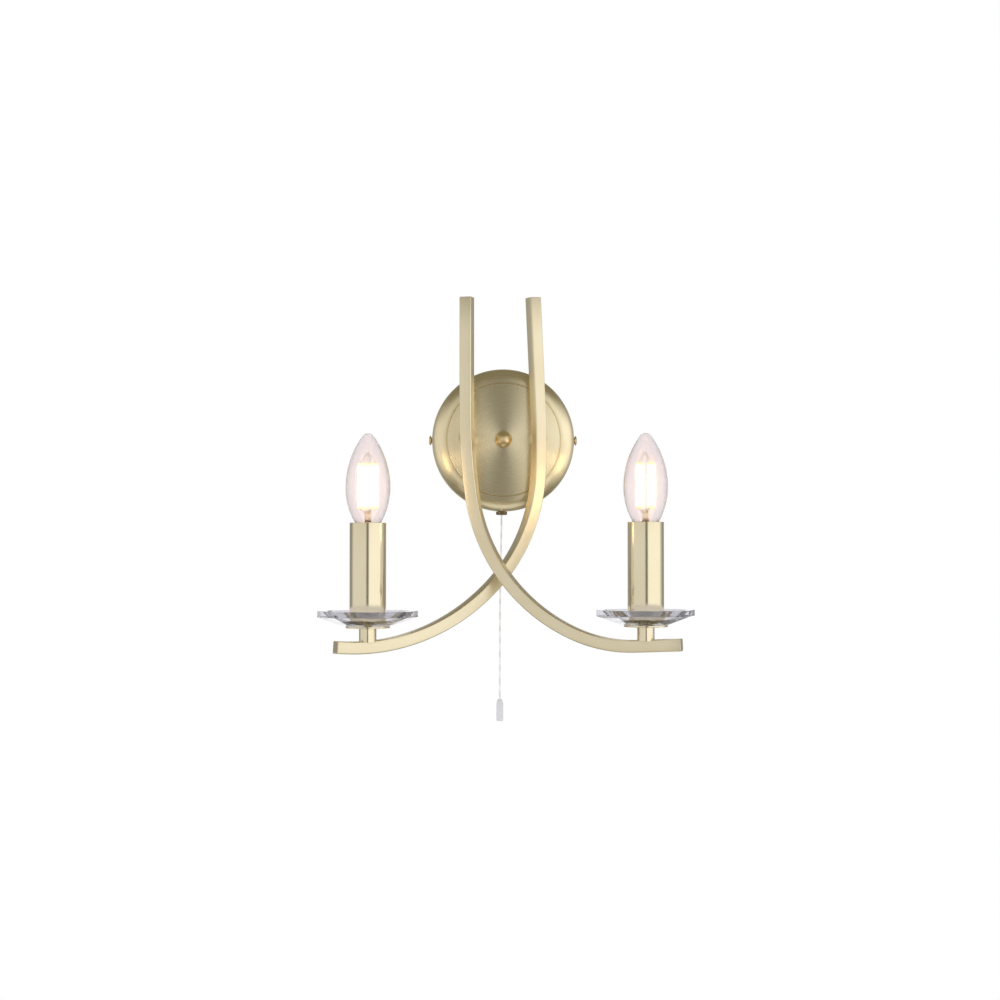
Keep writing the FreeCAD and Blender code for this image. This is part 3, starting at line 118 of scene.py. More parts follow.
# ---------------------------------------------------------------- finishes
def brushed_metal(name, colour, tint, rough, grain, direction, anisotropic=0.0):
    """Plated metal with a brushed grain.

    direction says how the grain was made: turned leaves rings about the piece's Y axis,
    rings leaves rings about an upright tube, and along runs with the piece's own UV map.
    Real brushing lines are finer than the grain, which is as coarse as it needs to be to show.
    """
    material, tree = new_material(name)
    object_place = add(tree, "ShaderNodeTexCoord").outputs["Object"]
    if direction == "along":
        place = add(tree, "ShaderNodeUVMap", {"uv_map": "along"}).outputs["UV"]
        stretch = (1.0 / grain, 0.02 / grain, 1.0)
    elif direction == "turned":
        flat = add(tree, "ShaderNodeVectorMath", {"operation": "MULTIPLY"},
                   {0: object_place, 1: (1.0, 0.0, 1.0)}).outputs["Vector"]
        reach = add(tree, "ShaderNodeVectorMath", {"operation": "LENGTH"},
                    {0: flat}).outputs["Value"]
        place = add(tree, "ShaderNodeCombineXYZ", inputs={"X": reach}).outputs["Vector"]
        stretch = (1.0 / grain, 0.0, 0.0)
    else:
        place = object_place
        stretch = (0.02 / grain, 0.02 / grain, 1.0 / grain)
    stretched = add(tree, "ShaderNodeMapping", inputs={"Vector": place, "Scale": stretch})
    lines = add(tree, "ShaderNodeTexNoise", inputs={
        "Vector": stretched.outputs["Vector"], "Scale": 1.0, "Detail": 3.0, "Roughness": 0.6})
    # The lacquer's tint drifts a little over a few centimetres.
    drift = add(tree, "ShaderNodeTexNoise", inputs={
        "Vector": object_place, "Scale": 1.0 / (35.714 * MM), "Detail": 2.0})
    shade = add(tree, "ShaderNodeValToRGB", {"stops": ((0.3, colour), (0.75, tint))},
                {"Fac": drift.outputs["Fac"]})
    spread = add(tree, "ShaderNodeMapRange", inputs={
        "Value": lines.outputs["Fac"], "From Min": 0.3, "From Max": 0.7,
        "To Min": rough * 0.92, "To Max": rough * 1.1})
    relief = add(tree, "ShaderNodeBump", inputs={
        "Strength": 0.04, "Distance": grain * 0.06, "Height": lines.outputs["Fac"]})
    inputs = {"Base Color": shade.outputs["Color"], "Metallic": 1.0,
              "Roughness": spread.outputs["Result"], "Normal": relief.outputs["Normal"]}
    if anisotropic:
        # A quarter turn spreads the shine across the rings, as turning does.
        tangent = add(tree, "ShaderNodeTangent", {"direction_type": "RADIAL", "axis": "Y"})
        inputs.update({"Tangent": tangent.outputs["Tangent"], "Anisotropic": anisotropic,
                       "Anisotropic Rotation": 0.25})
    shader = add(tree, "ShaderNodeBsdfPrincipled", inputs=inputs)
    add(tree, "ShaderNodeOutputMaterial", inputs={"Surface": shader.outputs[0]})
    return material


def plain_finish(name, colour, worn, rough, metallic=0.0):
    """A moulded, turned or plated finish: a faint mottle, and a skin coarse enough to show."""
    material, tree = new_material(name)
    place = add(tree, "ShaderNodeTexCoord").outputs["Object"]
    mottle = add(tree, "ShaderNodeTexNoise", inputs={
        "Vector": place, "Scale": 1.0 / (11.111 * MM), "Detail": 3.0})
    shade = add(tree, "ShaderNodeValToRGB", {"stops": ((0.35, colour), (0.8, worn))},
                {"Fac": mottle.outputs["Fac"]})
    skin = add(tree, "ShaderNodeTexNoise", inputs={
        "Vector": place, "Scale": 1.0 / (1.2 * MM), "Detail": 2.0})
    spread = add(tree, "ShaderNodeMapRange", inputs={
        "Value": skin.outputs["Fac"], "To Min": rough * 0.85, "To Max": rough * 1.15})
    bump = add(tree, "ShaderNodeBump", inputs={
        "Strength": 0.3, "Distance": 0.02 * MM, "Height": skin.outputs["Fac"]})
    shader = add(tree, "ShaderNodeBsdfPrincipled", inputs={
        "Base Color": shade.outputs["Color"], "Metallic": metallic,
        "Roughness": spread.outputs["Result"], "Normal": bump.outputs["Normal"]})
    add(tree, "ShaderNodeOutputMaterial", inputs={"Surface": shader.outputs[0]})
    return material


def clear_glass(name, colour, ior, waviness, rough=0.0, coat=0.0):
    """Blown or cut glass: nearly colourless, with a slow ripple in its surface."""
    material, tree = new_material(name)
    place = add(tree, "ShaderNodeTexCoord").outputs["Object"]
    ripple = add(tree, "ShaderNodeTexNoise", inputs={
        "Vector": place, "Scale": 1.0 / (16.667 * MM), "Detail": 1.0})
    bump = add(tree, "ShaderNodeBump", inputs={
        "Strength": 0.5, "Distance": waviness, "Height": ripple.outputs["Fac"]})
    shader = add(tree, "ShaderNodeBsdfPrincipled", inputs={
        "Base Color": linear(colour), "Roughness": rough, "IOR": ior,
        "Transmission Weight": 1.0, "Coat Weight": coat, "Normal": bump.outputs["Normal"]})
    add(tree, "ShaderNodeOutputMaterial", inputs={"Surface": shader.outputs[0]})
    return material


def lit_phosphor(name, colour, worn, glow, strength):
    """Yellow phosphor on an LED filament, lit: blown out along its length, amber at its ends.

    Its dots are 0.8 mm wide, coarser than real phosphor, so that they show.
    """
    material, tree = new_material(name)
    place = add(tree, "ShaderNodeTexCoord").outputs["Object"]
    dots = add(tree, "ShaderNodeTexNoise", inputs={
        "Vector": place, "Scale": 1.0 / (0.8 * MM), "Detail": 1.0})
    shade = add(tree, "ShaderNodeValToRGB", {"stops": ((0.3, colour), (0.7, worn))},
                {"Fac": dots.outputs["Fac"]})
    # The rod's own attribute runs from 0 at its foot to 1 at its top.
    share = add(tree, "ShaderNodeAttribute", {"attribute_name": "share"})
    light = add(tree, "ShaderNodeValToRGB", {"stops": (
        (0.0, "7A4A12"), (0.04, "E6A848"), (0.09, glow), (0.91, glow), (0.96, "E6A848"),
        (1.0, "7A4A12"))}, {"Fac": share.outputs["Fac"]})
    shader = add(tree, "ShaderNodeBsdfPrincipled", inputs={
        "Base Color": shade.outputs["Color"], "Roughness": 0.6,
        "Emission Color": light.outputs["Color"], "Emission Strength": strength})
    add(tree, "ShaderNodeOutputMaterial", inputs={"Surface": shader.outputs[0]})
    return material


def braided_cord(name, colour, shadow):
    """Thin polyester pull cord: faint slanted strands, far coarser than real so that they show."""
    material, tree = new_material(name)
    place = add(tree, "ShaderNodeTexCoord").outputs["Object"]
    # At scale 1 the waves are tau / 10 apart. These are 11.3 mm apart along the cord.
    strands = add(tree, "ShaderNodeTexWave", {"bands_direction": "DIAGONAL"}, {
        "Vector": place, "Scale": math.tau / 10 / (11.31 * MM), "Distortion": 1.5,
        "Detail": 1.0})
    shade = add(tree, "ShaderNodeValToRGB", {"stops": ((0.2, shadow), (0.7, colour))},
                {"Fac": strands.outputs["Fac"]})
    bump = add(tree, "ShaderNodeBump", inputs={
        "Strength": 0.3, "Distance": 0.1 * MM, "Height": strands.outputs["Fac"]})
    shader = add(tree, "ShaderNodeBsdfPrincipled", inputs={
        "Base Color": shade.outputs["Color"], "Roughness": 0.8,
        "Normal": bump.outputs["Normal"]})
    add(tree, "ShaderNodeOutputMaterial", inputs={"Surface": shader.outputs[0]})
    return material


# Each finish under a short name, once the finishes operator has made them.
FINISHES = {}


# ---------------------------------------------------------------- shaping helpers
class Outline:
    """A lathe outline in the XZ plane, drawn from point to point in millimetres."""

    def __init__(self, across, along):
        self.mesh = bmesh.new()
        self.tip = self.mesh.verts.new((across * MM, 0.0, along * MM))

    @classmethod
    def through(cls, *points):
        """An outline of straight runs through points of across and along."""
        drawn = cls(*points[0])
        for point in points[1:]:
            drawn.line(*point)
        return drawn

    def line(self, across, along):
        """A straight run to a point."""
        made = bmesh.ops.extrude_vert_indiv(self.mesh, verts=[self.tip])
        self.tip = made["verts"][0]
        self.tip.co = Vector((across * MM, 0.0, along * MM))
        return self

    def arc(self, across, along, degrees, steps=10):
        """An arc about a centre. Positive degrees turn from +X towards -Z."""
        made = bmesh.ops.spin(
            self.mesh, geom=[self.tip], cent=Vector((across * MM, 0.0, along * MM)),
            axis=Vector((0.0, 1.0, 0.0)), dvec=Vector(), angle=math.radians(degrees),
            steps=steps, use_merge=False, use_duplicate=False)
        self.tip = [item for item in made["geom_last"] if isinstance(item, bmesh.types.BMVert)][0]
        return self

    def spin(self, steps=96):
        """Turn the outline about Z into a closed skin."""
        mesh = self.mesh
        bmesh.ops.remove_doubles(mesh, verts=mesh.verts[:], dist=1e-6)
        geom = mesh.verts[:] + mesh.edges[:]
        bmesh.ops.spin(mesh, geom=geom, cent=Vector(), axis=UP, dvec=Vector(),
                       angle=2 * math.pi, steps=steps, use_merge=True, use_duplicate=False)
        bmesh.ops.remove_doubles(mesh, verts=mesh.verts[:], dist=1e-6)
        bmesh.ops.dissolve_degenerate(mesh, edges=mesh.edges[:], dist=1e-7)
        loose = [edge for edge in mesh.edges if not edge.link_faces]
        bmesh.ops.delete(mesh, geom=loose, context="EDGES")
        bmesh.ops.recalc_face_normals(mesh, faces=mesh.faces[:])
        return mesh


def ease(mesh, offset, segments=3, least=30.0):
    """Bevel the edges whose faces meet at more than the least angle."""
    sharp = [edge for edge in mesh.edges
             if edge.is_manifold and edge.calc_face_angle(0.0) > math.radians(least)]
    bmesh.ops.bevel(mesh, geom=sharp, offset=offset * MM, offset_type="OFFSET",
                    segments=segments, profile=0.5, affect="EDGES", material=-1,
                    clamp_overlap=True)
    return mesh


def stand(mesh, base, direction=UP):
    """Turn a lathe piece's +Z to a direction and move its foot to a base point."""
    turn = UP.rotation_difference(Vector(direction)).to_matrix().to_4x4()
    bmesh.ops.transform(mesh, matrix=Matrix.Translation(base) @ turn, verts=mesh.verts[:])
    return mesh


def as_object(name, mesh):
    """Put a mesh in the scene as an object at the origin."""
    data = bpy.data.meshes.new(name)
    mesh.to_mesh(data)
    mesh.free()
    made = bpy.data.objects.new(name, data)
    bpy.context.scene.collection.objects.link(made)
    return made


def keep(name, meshes, finish, body, slot, *nodes, sharp=35.0):
    """Make one piece of the meshes, give it its finish and body, and hide what it replaces."""
    if isinstance(meshes, bmesh.types.BMesh):
        meshes = [meshes]
    whole = bmesh.new()
    for mesh in meshes:
        part = bpy.data.meshes.new("part")
        mesh.to_mesh(part)
        mesh.free()
        whole.from_mesh(part)
        bpy.data.meshes.remove(part)
    if any(not edge.is_manifold for edge in whole.edges):
        raise RuntimeError(name + " isn't closed")
    piece = as_object(name, whole)
    piece.data.shade_smooth()
    piece.data.set_sharp_from_angle(angle=math.radians(sharp))
    piece.data.materials.append(FINISHES[finish])
    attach(piece, body)
    if nodes:
        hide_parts(*nodes)
    return piece


# ---------------------------------------------------------------- what a user would change
# The defaults are given in millimetres, degrees and sRGB hex, and held in metres, radians and
# linear colour.
def length_property(name, description, millimetres):
    return FloatProperty(name=name, description=description, default=millimetres * MM,
                         precision=4, subtype="DISTANCE")


def lengths_property(name, description, *millimetres):
    return FloatVectorProperty(name=name, description=description, size=len(millimetres),
                               default=[value * MM for value in millimetres], precision=4,
                               unit="LENGTH")


def angle_property(name, description, degrees):
    return FloatProperty(name=name, description=description, default=math.radians(degrees),
                         subtype="ANGLE")


def angles_property(name, description, *degrees):
    return FloatVectorProperty(name=name, description=description, size=len(degrees),
                               default=[math.radians(value) for value in degrees],
                               unit="ROTATION")


def colour_property(name, description, code):
    return FloatVectorProperty(name=name, description=description, size=4, min=0.0, max=1.0,
                               default=linear(code), subtype="COLOR")


class WallLightSizes(bpy.types.PropertyGroup):
    """Sizes of the wall light's pieces"""

    plate_radius: length_property("Plate Radius", "Centre to rim of the backplate", 60.0)
    plate_depth: length_property("Plate Depth", "Wall to the disc's front", 26.0)
    shoulder: length_property("Shoulder", "Rounding of the plate's rim", 12.0)
    disc_radius: length_property("Disc Radius", "Raised disc on the plate", 47.2)
    disc_step: length_property("Disc Step", "Height of the raised disc", 0.8)
    tube_size: length_property("Arm Width", "Square tube of the arms", 10.0)
    tube_corner: length_property("Arm Corner", "Corner radius of the arms' tube", 1.0)
    front_turn: angle_property("Front Arm Turn", "Its plane from the wall", 18.5)
    front_top: lengths_property("Front Arm Top", "Centre of its top end", -31.4, -58.6, 115.3)
    front_lean: angle_property("Front Arm Lean", "Its top run from upright", 0.0)
    front_runs: lengths_property("Front Arm Runs", "Top and end straight run", 96.3, 37.0)
    front_radii: lengths_property("Front Arm Bends", "Three bend radii", 480.0, 145.8, 116.0)
    front_angles: angles_property("Front Arm Angles", "Three bend angles", 7.8, 59.2, 25.4)
    back_turn: angle_property("Back Arm Turn", "Its plane from the wall", 26.0)
    back_top: lengths_property("Back Arm Top", "Centre of its top end", 24.1, -40.0, 117.5)
    back_lean: angle_property("Back Arm Lean", "Its top run from upright", 2.9)
    back_runs: lengths_property("Back Arm Runs", "Top and end straight run", 95.5, 7.2)
    back_radii: lengths_property("Back Arm Bends", "Three bend radii", 480.0, 137.1, 176.3)
    back_angles: angles_property("Back Arm Angles", "Three bend angles", 6.2, 41.9, 48.3)
    candle_radius: length_property("Candle Radius", "Outside of the candle tube", 14.6)
    candle_height: length_property("Candle Height", "Length of the candle tube", 75.8)
    dish_corner: length_property("Dish Corner", "Centre to corner of the dish", 40.2)
    dish_turn: angle_property("Dish Turn", "First corner from the right", 6.7)
    bulb_radius: length_property("Bulb Radius", "Widest of the glass", 17.9)
    bulb_height: length_property("Bulb Height", "Glass above its cap", 74.6)
    bulb_waist: length_property("Bulb Waist", "Cap to the widest place", 31.3)
    bulb_foot: length_property("Bulb Foot", "Glass radius at its cap", 8.4)
    bulb_tip: length_property("Bulb Tip", "Radius of the round tip", 5.5)
    bulb_wall: length_property("Bulb Wall", "Thickness of the glass", 0.7)
    filament_count: IntProperty(name="Filaments", description="Rods in one bulb", default=4)
    filament_radius: length_property("Filament Radius", "Radius of one rod", 1.1)
    filament_length: length_property("Filament Length", "Length of one rod", 36.0)
    filament_spread: length_property("Filament Spread", "Bulb's axis to a rod", 6.8)
    filament_rise: length_property("Filament Rise", "Cap to the rods", 14.5)
    filament_turn: angle_property("Filament Turn", "First rod from the right", 20.0)
    cord_radius: length_property("Cord Radius", "Radius of the pull cord", 0.75)


class WallLightColours(bpy.types.PropertyGroup):
    """Colours of the wall light's finishes"""

    plate: colour_property("Plate", "Turned brass of the backplate", "F0E1B8")
    arms: colour_property("Arms", "Brass of the arms, candle tubes and flanges", "E7DAB8")
    knob: colour_property("Knob", "Turned brass of the knob and screws", "E8D2A0")
    # The outlet's dark brown is painted shade from under the plate.
    outlet: colour_property("Cord Outlet", "Brass of the cord outlet, darkened as painted shade", "6E5C44")
    crystal: colour_property("Crystal", "Tint of the dishes", "E2E1EA")
    bulb: colour_property("Bulb Glass", "Tint of the bulbs", "F4EEEF")
    glow: colour_property("Glow", "Light of the filaments", "FFE0AC")
    pull: colour_property("Pull", "Plastic of the pull and the switch", "DEDEE3")
    cord: colour_property("Cord", "Braid of the pull cord", "F4F3F2")


def sizes():
    """The user's sizes, in the millimetres and degrees that the pieces are drawn in."""
    group = bpy.context.scene.wall_light_sizes
    factors = {"LENGTH": 1.0 / MM, "ROTATION": math.degrees(1.0)}
    drawn = {}
    for name in WallLightSizes.__annotations__:
        value = getattr(group, name)
        factor = factors.get(group.bl_rna.properties[name].unit)
        if factor and isinstance(value, float):
            value = round(value * factor, 4)
        elif factor:
            value = [round(part * factor, 4) for part in value]
        drawn[name] = value
    return SimpleNamespace(**drawn)


def foot(node):
    """Centre of the underside of a CAD node's box."""
    low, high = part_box(node)
    centre = (Vector(low) + Vector(high)) / 2
    centre.z = low[2]
    return centre


# ---------------------------------------------------------------- operators
class WALLLIGHT_OT_finishes(bpy.types.Operator):
    """Brass, glass, plastic and cord finishes of the wall light"""

    bl_idname = "walllight.finishes"
    bl_label = "Finishes"

    def execute(self, context):
        own = context.scene.wall_light_colours
        pale = "EBE0C2"
        FINISHES.update({
            # Satin brass plate, lacquered: turned brushing draws a bow tie across the disc.
            "plate": brushed_metal("satin_brass_turned", own.plate, "F3E6C2", 0.28, 0.8 * MM,
                                   "turned", anisotropic=0.85),
            # The same plating on drawn tube: crisp upright bands of light and dark.
            "tube": brushed_metal("satin_brass_ring_brushed", own.arms, pale, 0.15, 0.7 * MM,
                                  "rings"),
            # The same plating brushed along the square arms: soft, even faces.
            "arm": brushed_metal("satin_brass_long_brushed", own.arms, pale, 0.38, 0.7 * MM,
                                 "along"),
            # Satin turned brass of the knob and screws: browner, with a broad soft highlight.
            "knob": plain_finish("satin_turned_brass", own.knob, "ECD8AC", 0.38, 1.0),
            # Plain turned brass inside the fitting: a little darker and yellower.
            "raw": plain_finish("raw_turned_brass", "B59A5C", "C7AE74", 0.32, 1.0),
            # Brass of the cord outlet, darkened as painted shade where it sits dark under the
            # plate.
            "browned": plain_finish("browned_brass", own.outlet, "7C6A50", 0.32, 1.0),
            # Bright zinc on pressed steel: a cool, dull grey.
            "steel": plain_finish("zinc_plated_steel", "A9ABAD", "BFC0BE", 0.38, 1.0),
            # Nickel on the bulb's cap and wires: a warm, silvery grey.
            "nickel": plain_finish("nickel_plated_brass", "C9C5BC", "D6D2CA", 0.28, 1.0),
            # Cut and polished crystal: a cool lilac cast. It bends light less than real crystal,
            # so that the tube's foot shows straight through it, and has a coat for its shine.
            "crystal": clear_glass("cut_crystal", own.crystal, 1.15, 0.01 * MM, coat=1.0),
            # Thin blown glass: a rosy grey cast, and a haze that softens the lit rods.
            "glass": clear_glass("blown_soda_glass", own.bulb, 1.45, 0.02 * MM, rough=0.2),
            # Pressed glass of the bulb's inner stem: its yellow tint is painted glow from the lit
            # rods above it.
            "stem": clear_glass("pressed_lead_glass", "F3E3C2", 1.5, 0.02 * MM),
            # Phosphor over the filament's diodes: lit, and nearly white to the eye.
            "phosphor": lit_phosphor("lit_yellow_phosphor", "FFC65A", "FFDF9E", own.glow, 8.0),
            # Black glass round the bulb's contact: smooth and shiny.
            "black": plain_finish("black_glass_insulator", "17181A", "222326", 0.15),
            # Moulded melamine of the lampholders: ivory, softly shiny.
            "holder": plain_finish("moulded_melamine", "DEDAD0", "D2CDC1", 0.45),
            # Moulded ABS of the switch and the pull: a clean cool white.
            "white": plain_finish("moulded_white_abs", own.pull, "D4D4DA", 0.35),
            # Braided polyester: a matt white with faint slanted strands.
            "cord": braided_cord("white_polyester_cord", own.cord, "E2E0DF"),
            # PVC over the wires: brown and softly shiny.
            "lead": plain_finish("brown_pvc_insulation", "5A3622", "4A2C1C", 0.45),
        })
        return {"FINISHED"}


class WALLLIGHT_OT_backplate(bpy.types.Operator):
    """Spun backplate with a rounded shoulder and a raised disc"""

    bl_idname = "walllight.backplate"
    bl_label = "Backplate"

    def execute(self, context):
        size = sizes()
        rim, disc, front, turn = (
            size.plate_radius, size.disc_radius, size.plate_depth, size.shoulder)
        face = front - size.disc_step
        wall, groove_width, groove_depth = 1.0, 0.9, 0.6
        cup = Outline(rim, 0.0).line(rim, face - turn)
        cup.arc(rim - turn, face - turn, -90.0, 14)
        cup.line(disc + groove_width, face).line(disc + groove_width / 2, face - groove_depth)
        cup.line(disc, face).line(disc, front).line(0.0, front)
        cup.line(0.0, front - wall).line(disc - wall, front - wall)
        cup.line(rim - turn, face - wall).arc(rim - turn, face - turn, 90.0, 14)
        cup.line(rim - wall, 0.0).line(rim, 0.0)
        mesh = ease(cup.spin(160), 0.18)
        stand(mesh, Vector(), FORWARD)
        keep("backplate_spun", mesh, "plate", "root", "satin_brass", "backplate")
        return {"FINISHED"}


# Lathe outlines are points of across and along, in millimetres.
SCREW_HEAD = ((0.0, 0.0), (2.6, 0.0), (2.9, 0.5), (4.2, 0.9), (3.9, 1.45), (3.3, 1.95),
              (2.2, 2.3), (0.0, 2.4))
SCREW_SHANK = ((0.0, -6.6), (2.0, -6.6), (2.0, 0.0), (0.0, 0.0))


class WALLLIGHT_OT_knob(bpy.types.Operator):
    """Domed centre knob and the two domed side screws"""

    bl_idname = "walllight.knob"
    bl_label = "Knob and Side Screws"

    def execute(self, context):
        size = sizes()
        dome, sunk, flare = 7.2, 0.2, 1.4
        rising = math.asin((flare + sunk) / dome)
        knob = Outline.through((0.0, 0.0), (5.6, 0.0), (5.9, 0.5),
                               (dome * math.cos(rising), flare))
        knob.arc(0.0, -sunk, math.degrees(rising) - 90.0, 20)
        mesh = ease(knob.spin(72), 0.12)
        stand(mesh, Vector((0.0, -size.plate_depth * MM, 0.0)), FORWARD)
        keep("centre_knob_turned", mesh, "knob", "root", "satin_brass", "centre_knob")
        heads = []
        stand_off, from_wall = 0.25, 8.0
        for side in (-1, 1):
            place = Vector((side * (size.plate_radius + stand_off), -from_wall, 0.0)) * MM
            outwards = Vector((side, 0.0, 0.0))
            head = ease(Outline.through(*SCREW_HEAD).spin(40), 0.08)
            shank = ease(Outline.through(*SCREW_SHANK).spin(24), 0.1)
            heads += [stand(head, place, outwards), stand(shank, place, outwards)]
        keep("side_screw_heads", heads, "knob", "root", "satin_brass", "side_screws")
        return {"FINISHED"}


class WALLLIGHT_OT_arms(bpy.types.Operator):
    """The two bent square arms"""

    bl_idname = "walllight.arms"
    bl_label = "Arms"

    def execute(self, context):
        size = sizes()
        for name, side in (("front", 1), ("back", -1)):
            own = [getattr(size, f"{name}_{part}")
                   for part in ("turn", "top", "lean", "runs", "radii", "angles")]
            mesh = self.bent_tube(size, side, *own)
            keep(name + "_arm_bent", mesh, "arm", "root", "satin_brass", name + "_arm", sharp=50.0)
        return {"FINISHED"}

    def bent_tube(self, size, side, turn, top, lean, runs, radii, angles):
        """A rounded square section carried down the arm's straight runs and bends."""
        plane = math.radians(turn)
        along = Vector((side * math.cos(plane), -math.sin(plane), 0.0))
        across = Vector((side * math.sin(plane), math.cos(plane), 0.0))
        top_run, end_run = runs
        heading = -math.radians(lean)
        place = Vector(top) * MM
        half = size.tube_size / 2 * MM
        mesh = bmesh.new()
        bmesh.ops.create_circle(mesh, cap_ends=False, segments=4, radius=half * math.sqrt(2))
        bmesh.ops.rotate(mesh, verts=mesh.verts[:], cent=Vector(),
                         matrix=Matrix.Rotation(math.pi / 4, 3, "Z"))
        bmesh.ops.bevel(mesh, geom=mesh.verts[:], offset=size.tube_corner * MM,
                        offset_type="OFFSET", segments=5, profile=0.5, affect="VERTICES",
                        material=-1, clamp_overlap=True)
        inward = along * math.cos(heading) + UP * math.sin(heading)
        down = along * math.sin(heading) - UP * math.cos(heading)
        basis = Matrix((inward, across, down)).transposed().to_4x4()
        bmesh.ops.transform(mesh, matrix=Matrix.Translation(place) @ basis, verts=mesh.verts[:])
        first = mesh.edges[:]
        reach_layer = mesh.verts.layers.float.new("reach")
        turn_layer = mesh.verts.layers.float.new("round")
        for vert in mesh.verts:
            local = vert.co - place
            vert[turn_layer] = math.atan2(local.dot(across), local.dot(inward))
        ring = first
        reached = 0.0
        steps = [("run", top_run, 0.0)]
        steps += [("bend", radius, angle) for radius, angle in zip(radii, angles)]
        steps.append(("run", end_run, 0.0))
        run_parts, bend_parts, bend_step = 3, 6, 1.2
        for kind, measure, angle in steps:
            count = run_parts if kind == "run" else max(bend_parts, int(angle / bend_step))
            length = measure * MM if kind == "run" else measure * MM * math.radians(angle)
            for _ in range(count):
                made = bmesh.ops.extrude_edge_only(mesh, edges=ring)["geom"]
                verts = [item for item in made if isinstance(item, bmesh.types.BMVert)]
                ring = [item for item in made if isinstance(item, bmesh.types.BMEdge)
                        and item.verts[0] in verts and item.verts[1] in verts]
                if kind == "run":
                    down = along * math.sin(heading) - UP * math.cos(heading)
                    bmesh.ops.translate(mesh, verts=verts, vec=down * (length / count))
                    place = place + down * (length / count)
                else:
                    sideways = along * math.cos(heading) + UP * math.sin(heading)
                    centre = place + sideways * measure * MM
                    part = math.radians(angle) / count
                    swing = Matrix.Rotation(-side * part, 3, across)
                    bmesh.ops.rotate(mesh, verts=verts, cent=centre, matrix=swing)
                    place = centre + swing @ (place - centre)
                    heading += part
                reached += length / count
                for vert in verts:
                    vert[reach_layer] = reached
        self.unwrap(mesh, reach_layer, turn_layer, size)
        ends = [first, ring]
        for loop in ends:
            bmesh.ops.holes_fill(mesh, edges=loop, sides=0)
        bmesh.ops.recalc_face_normals(mesh, faces=mesh.faces[:])
        rims = [edge for loop in ends for edge in loop]
        bmesh.ops.bevel(mesh, geom=rims, offset=0.25 * MM, offset_type="OFFSET", segments=2,
                        profile=0.5, affect="EDGES", material=-1, clamp_overlap=True)
        return mesh

    def unwrap(self, mesh, reach_layer, turn_layer, size):
        """Map u round the section and v along the arm, in metres."""
        layer = mesh.loops.layers.uv.new("along")
        girth = 4 * size.tube_size * MM
        for face in mesh.faces:
            turns = [loop.vert[turn_layer] for loop in face.loops]
            wraps = max(turns) - min(turns) > math.pi
            for loop, angle in zip(face.loops, turns):
                if wraps and angle < 0:
                    angle += 2 * math.pi
                loop[layer].uv = (angle / (2 * math.pi) * girth, loop.vert[reach_layer])


FLANGE = ((3.5, 0.0), (8.45, 0.0), (17.7, 0.8), (17.7, 2.0), (3.5, 2.0), (3.5, 0.0))


class WALLLIGHT_OT_candles(bpy.types.Operator):
    """Candle tubes and flanges of both lamps"""

    bl_idname = "walllight.candles"
    bl_label = "Candle Tubes and Flanges"

    def execute(self, context):
        size = sizes()
        for side in ("left", "right"):
            outer, height, wall = size.candle_radius, size.candle_height, 0.8
            inner = outer - wall
            tube = Outline.through((outer, 0.0), (outer, height), (inner, height), (inner, 0.0),
                                   (outer, 0.0))
            mesh = stand(ease(tube.spin(128), 0.2), foot(side + "_candle_tube"))
            keep(side + "_candle", mesh, "tube", "root", "satin_brass", side + "_candle_tube")
            disc = Outline.through(*FLANGE)
            mesh = stand(ease(disc.spin(96), 0.2), foot(side + "_flange"))
            keep(side + "_flange_disc", mesh, "tube", "root", "satin_brass", side + "_flange")
        return {"FINISHED"}


DISH_WELL = ((0.0, -2.0), (3.5, -2.0), (3.5, 6.6), (25.5, 6.6), (33.5, 12.3), (35.6, 13.8),
             (0.0, 13.8))


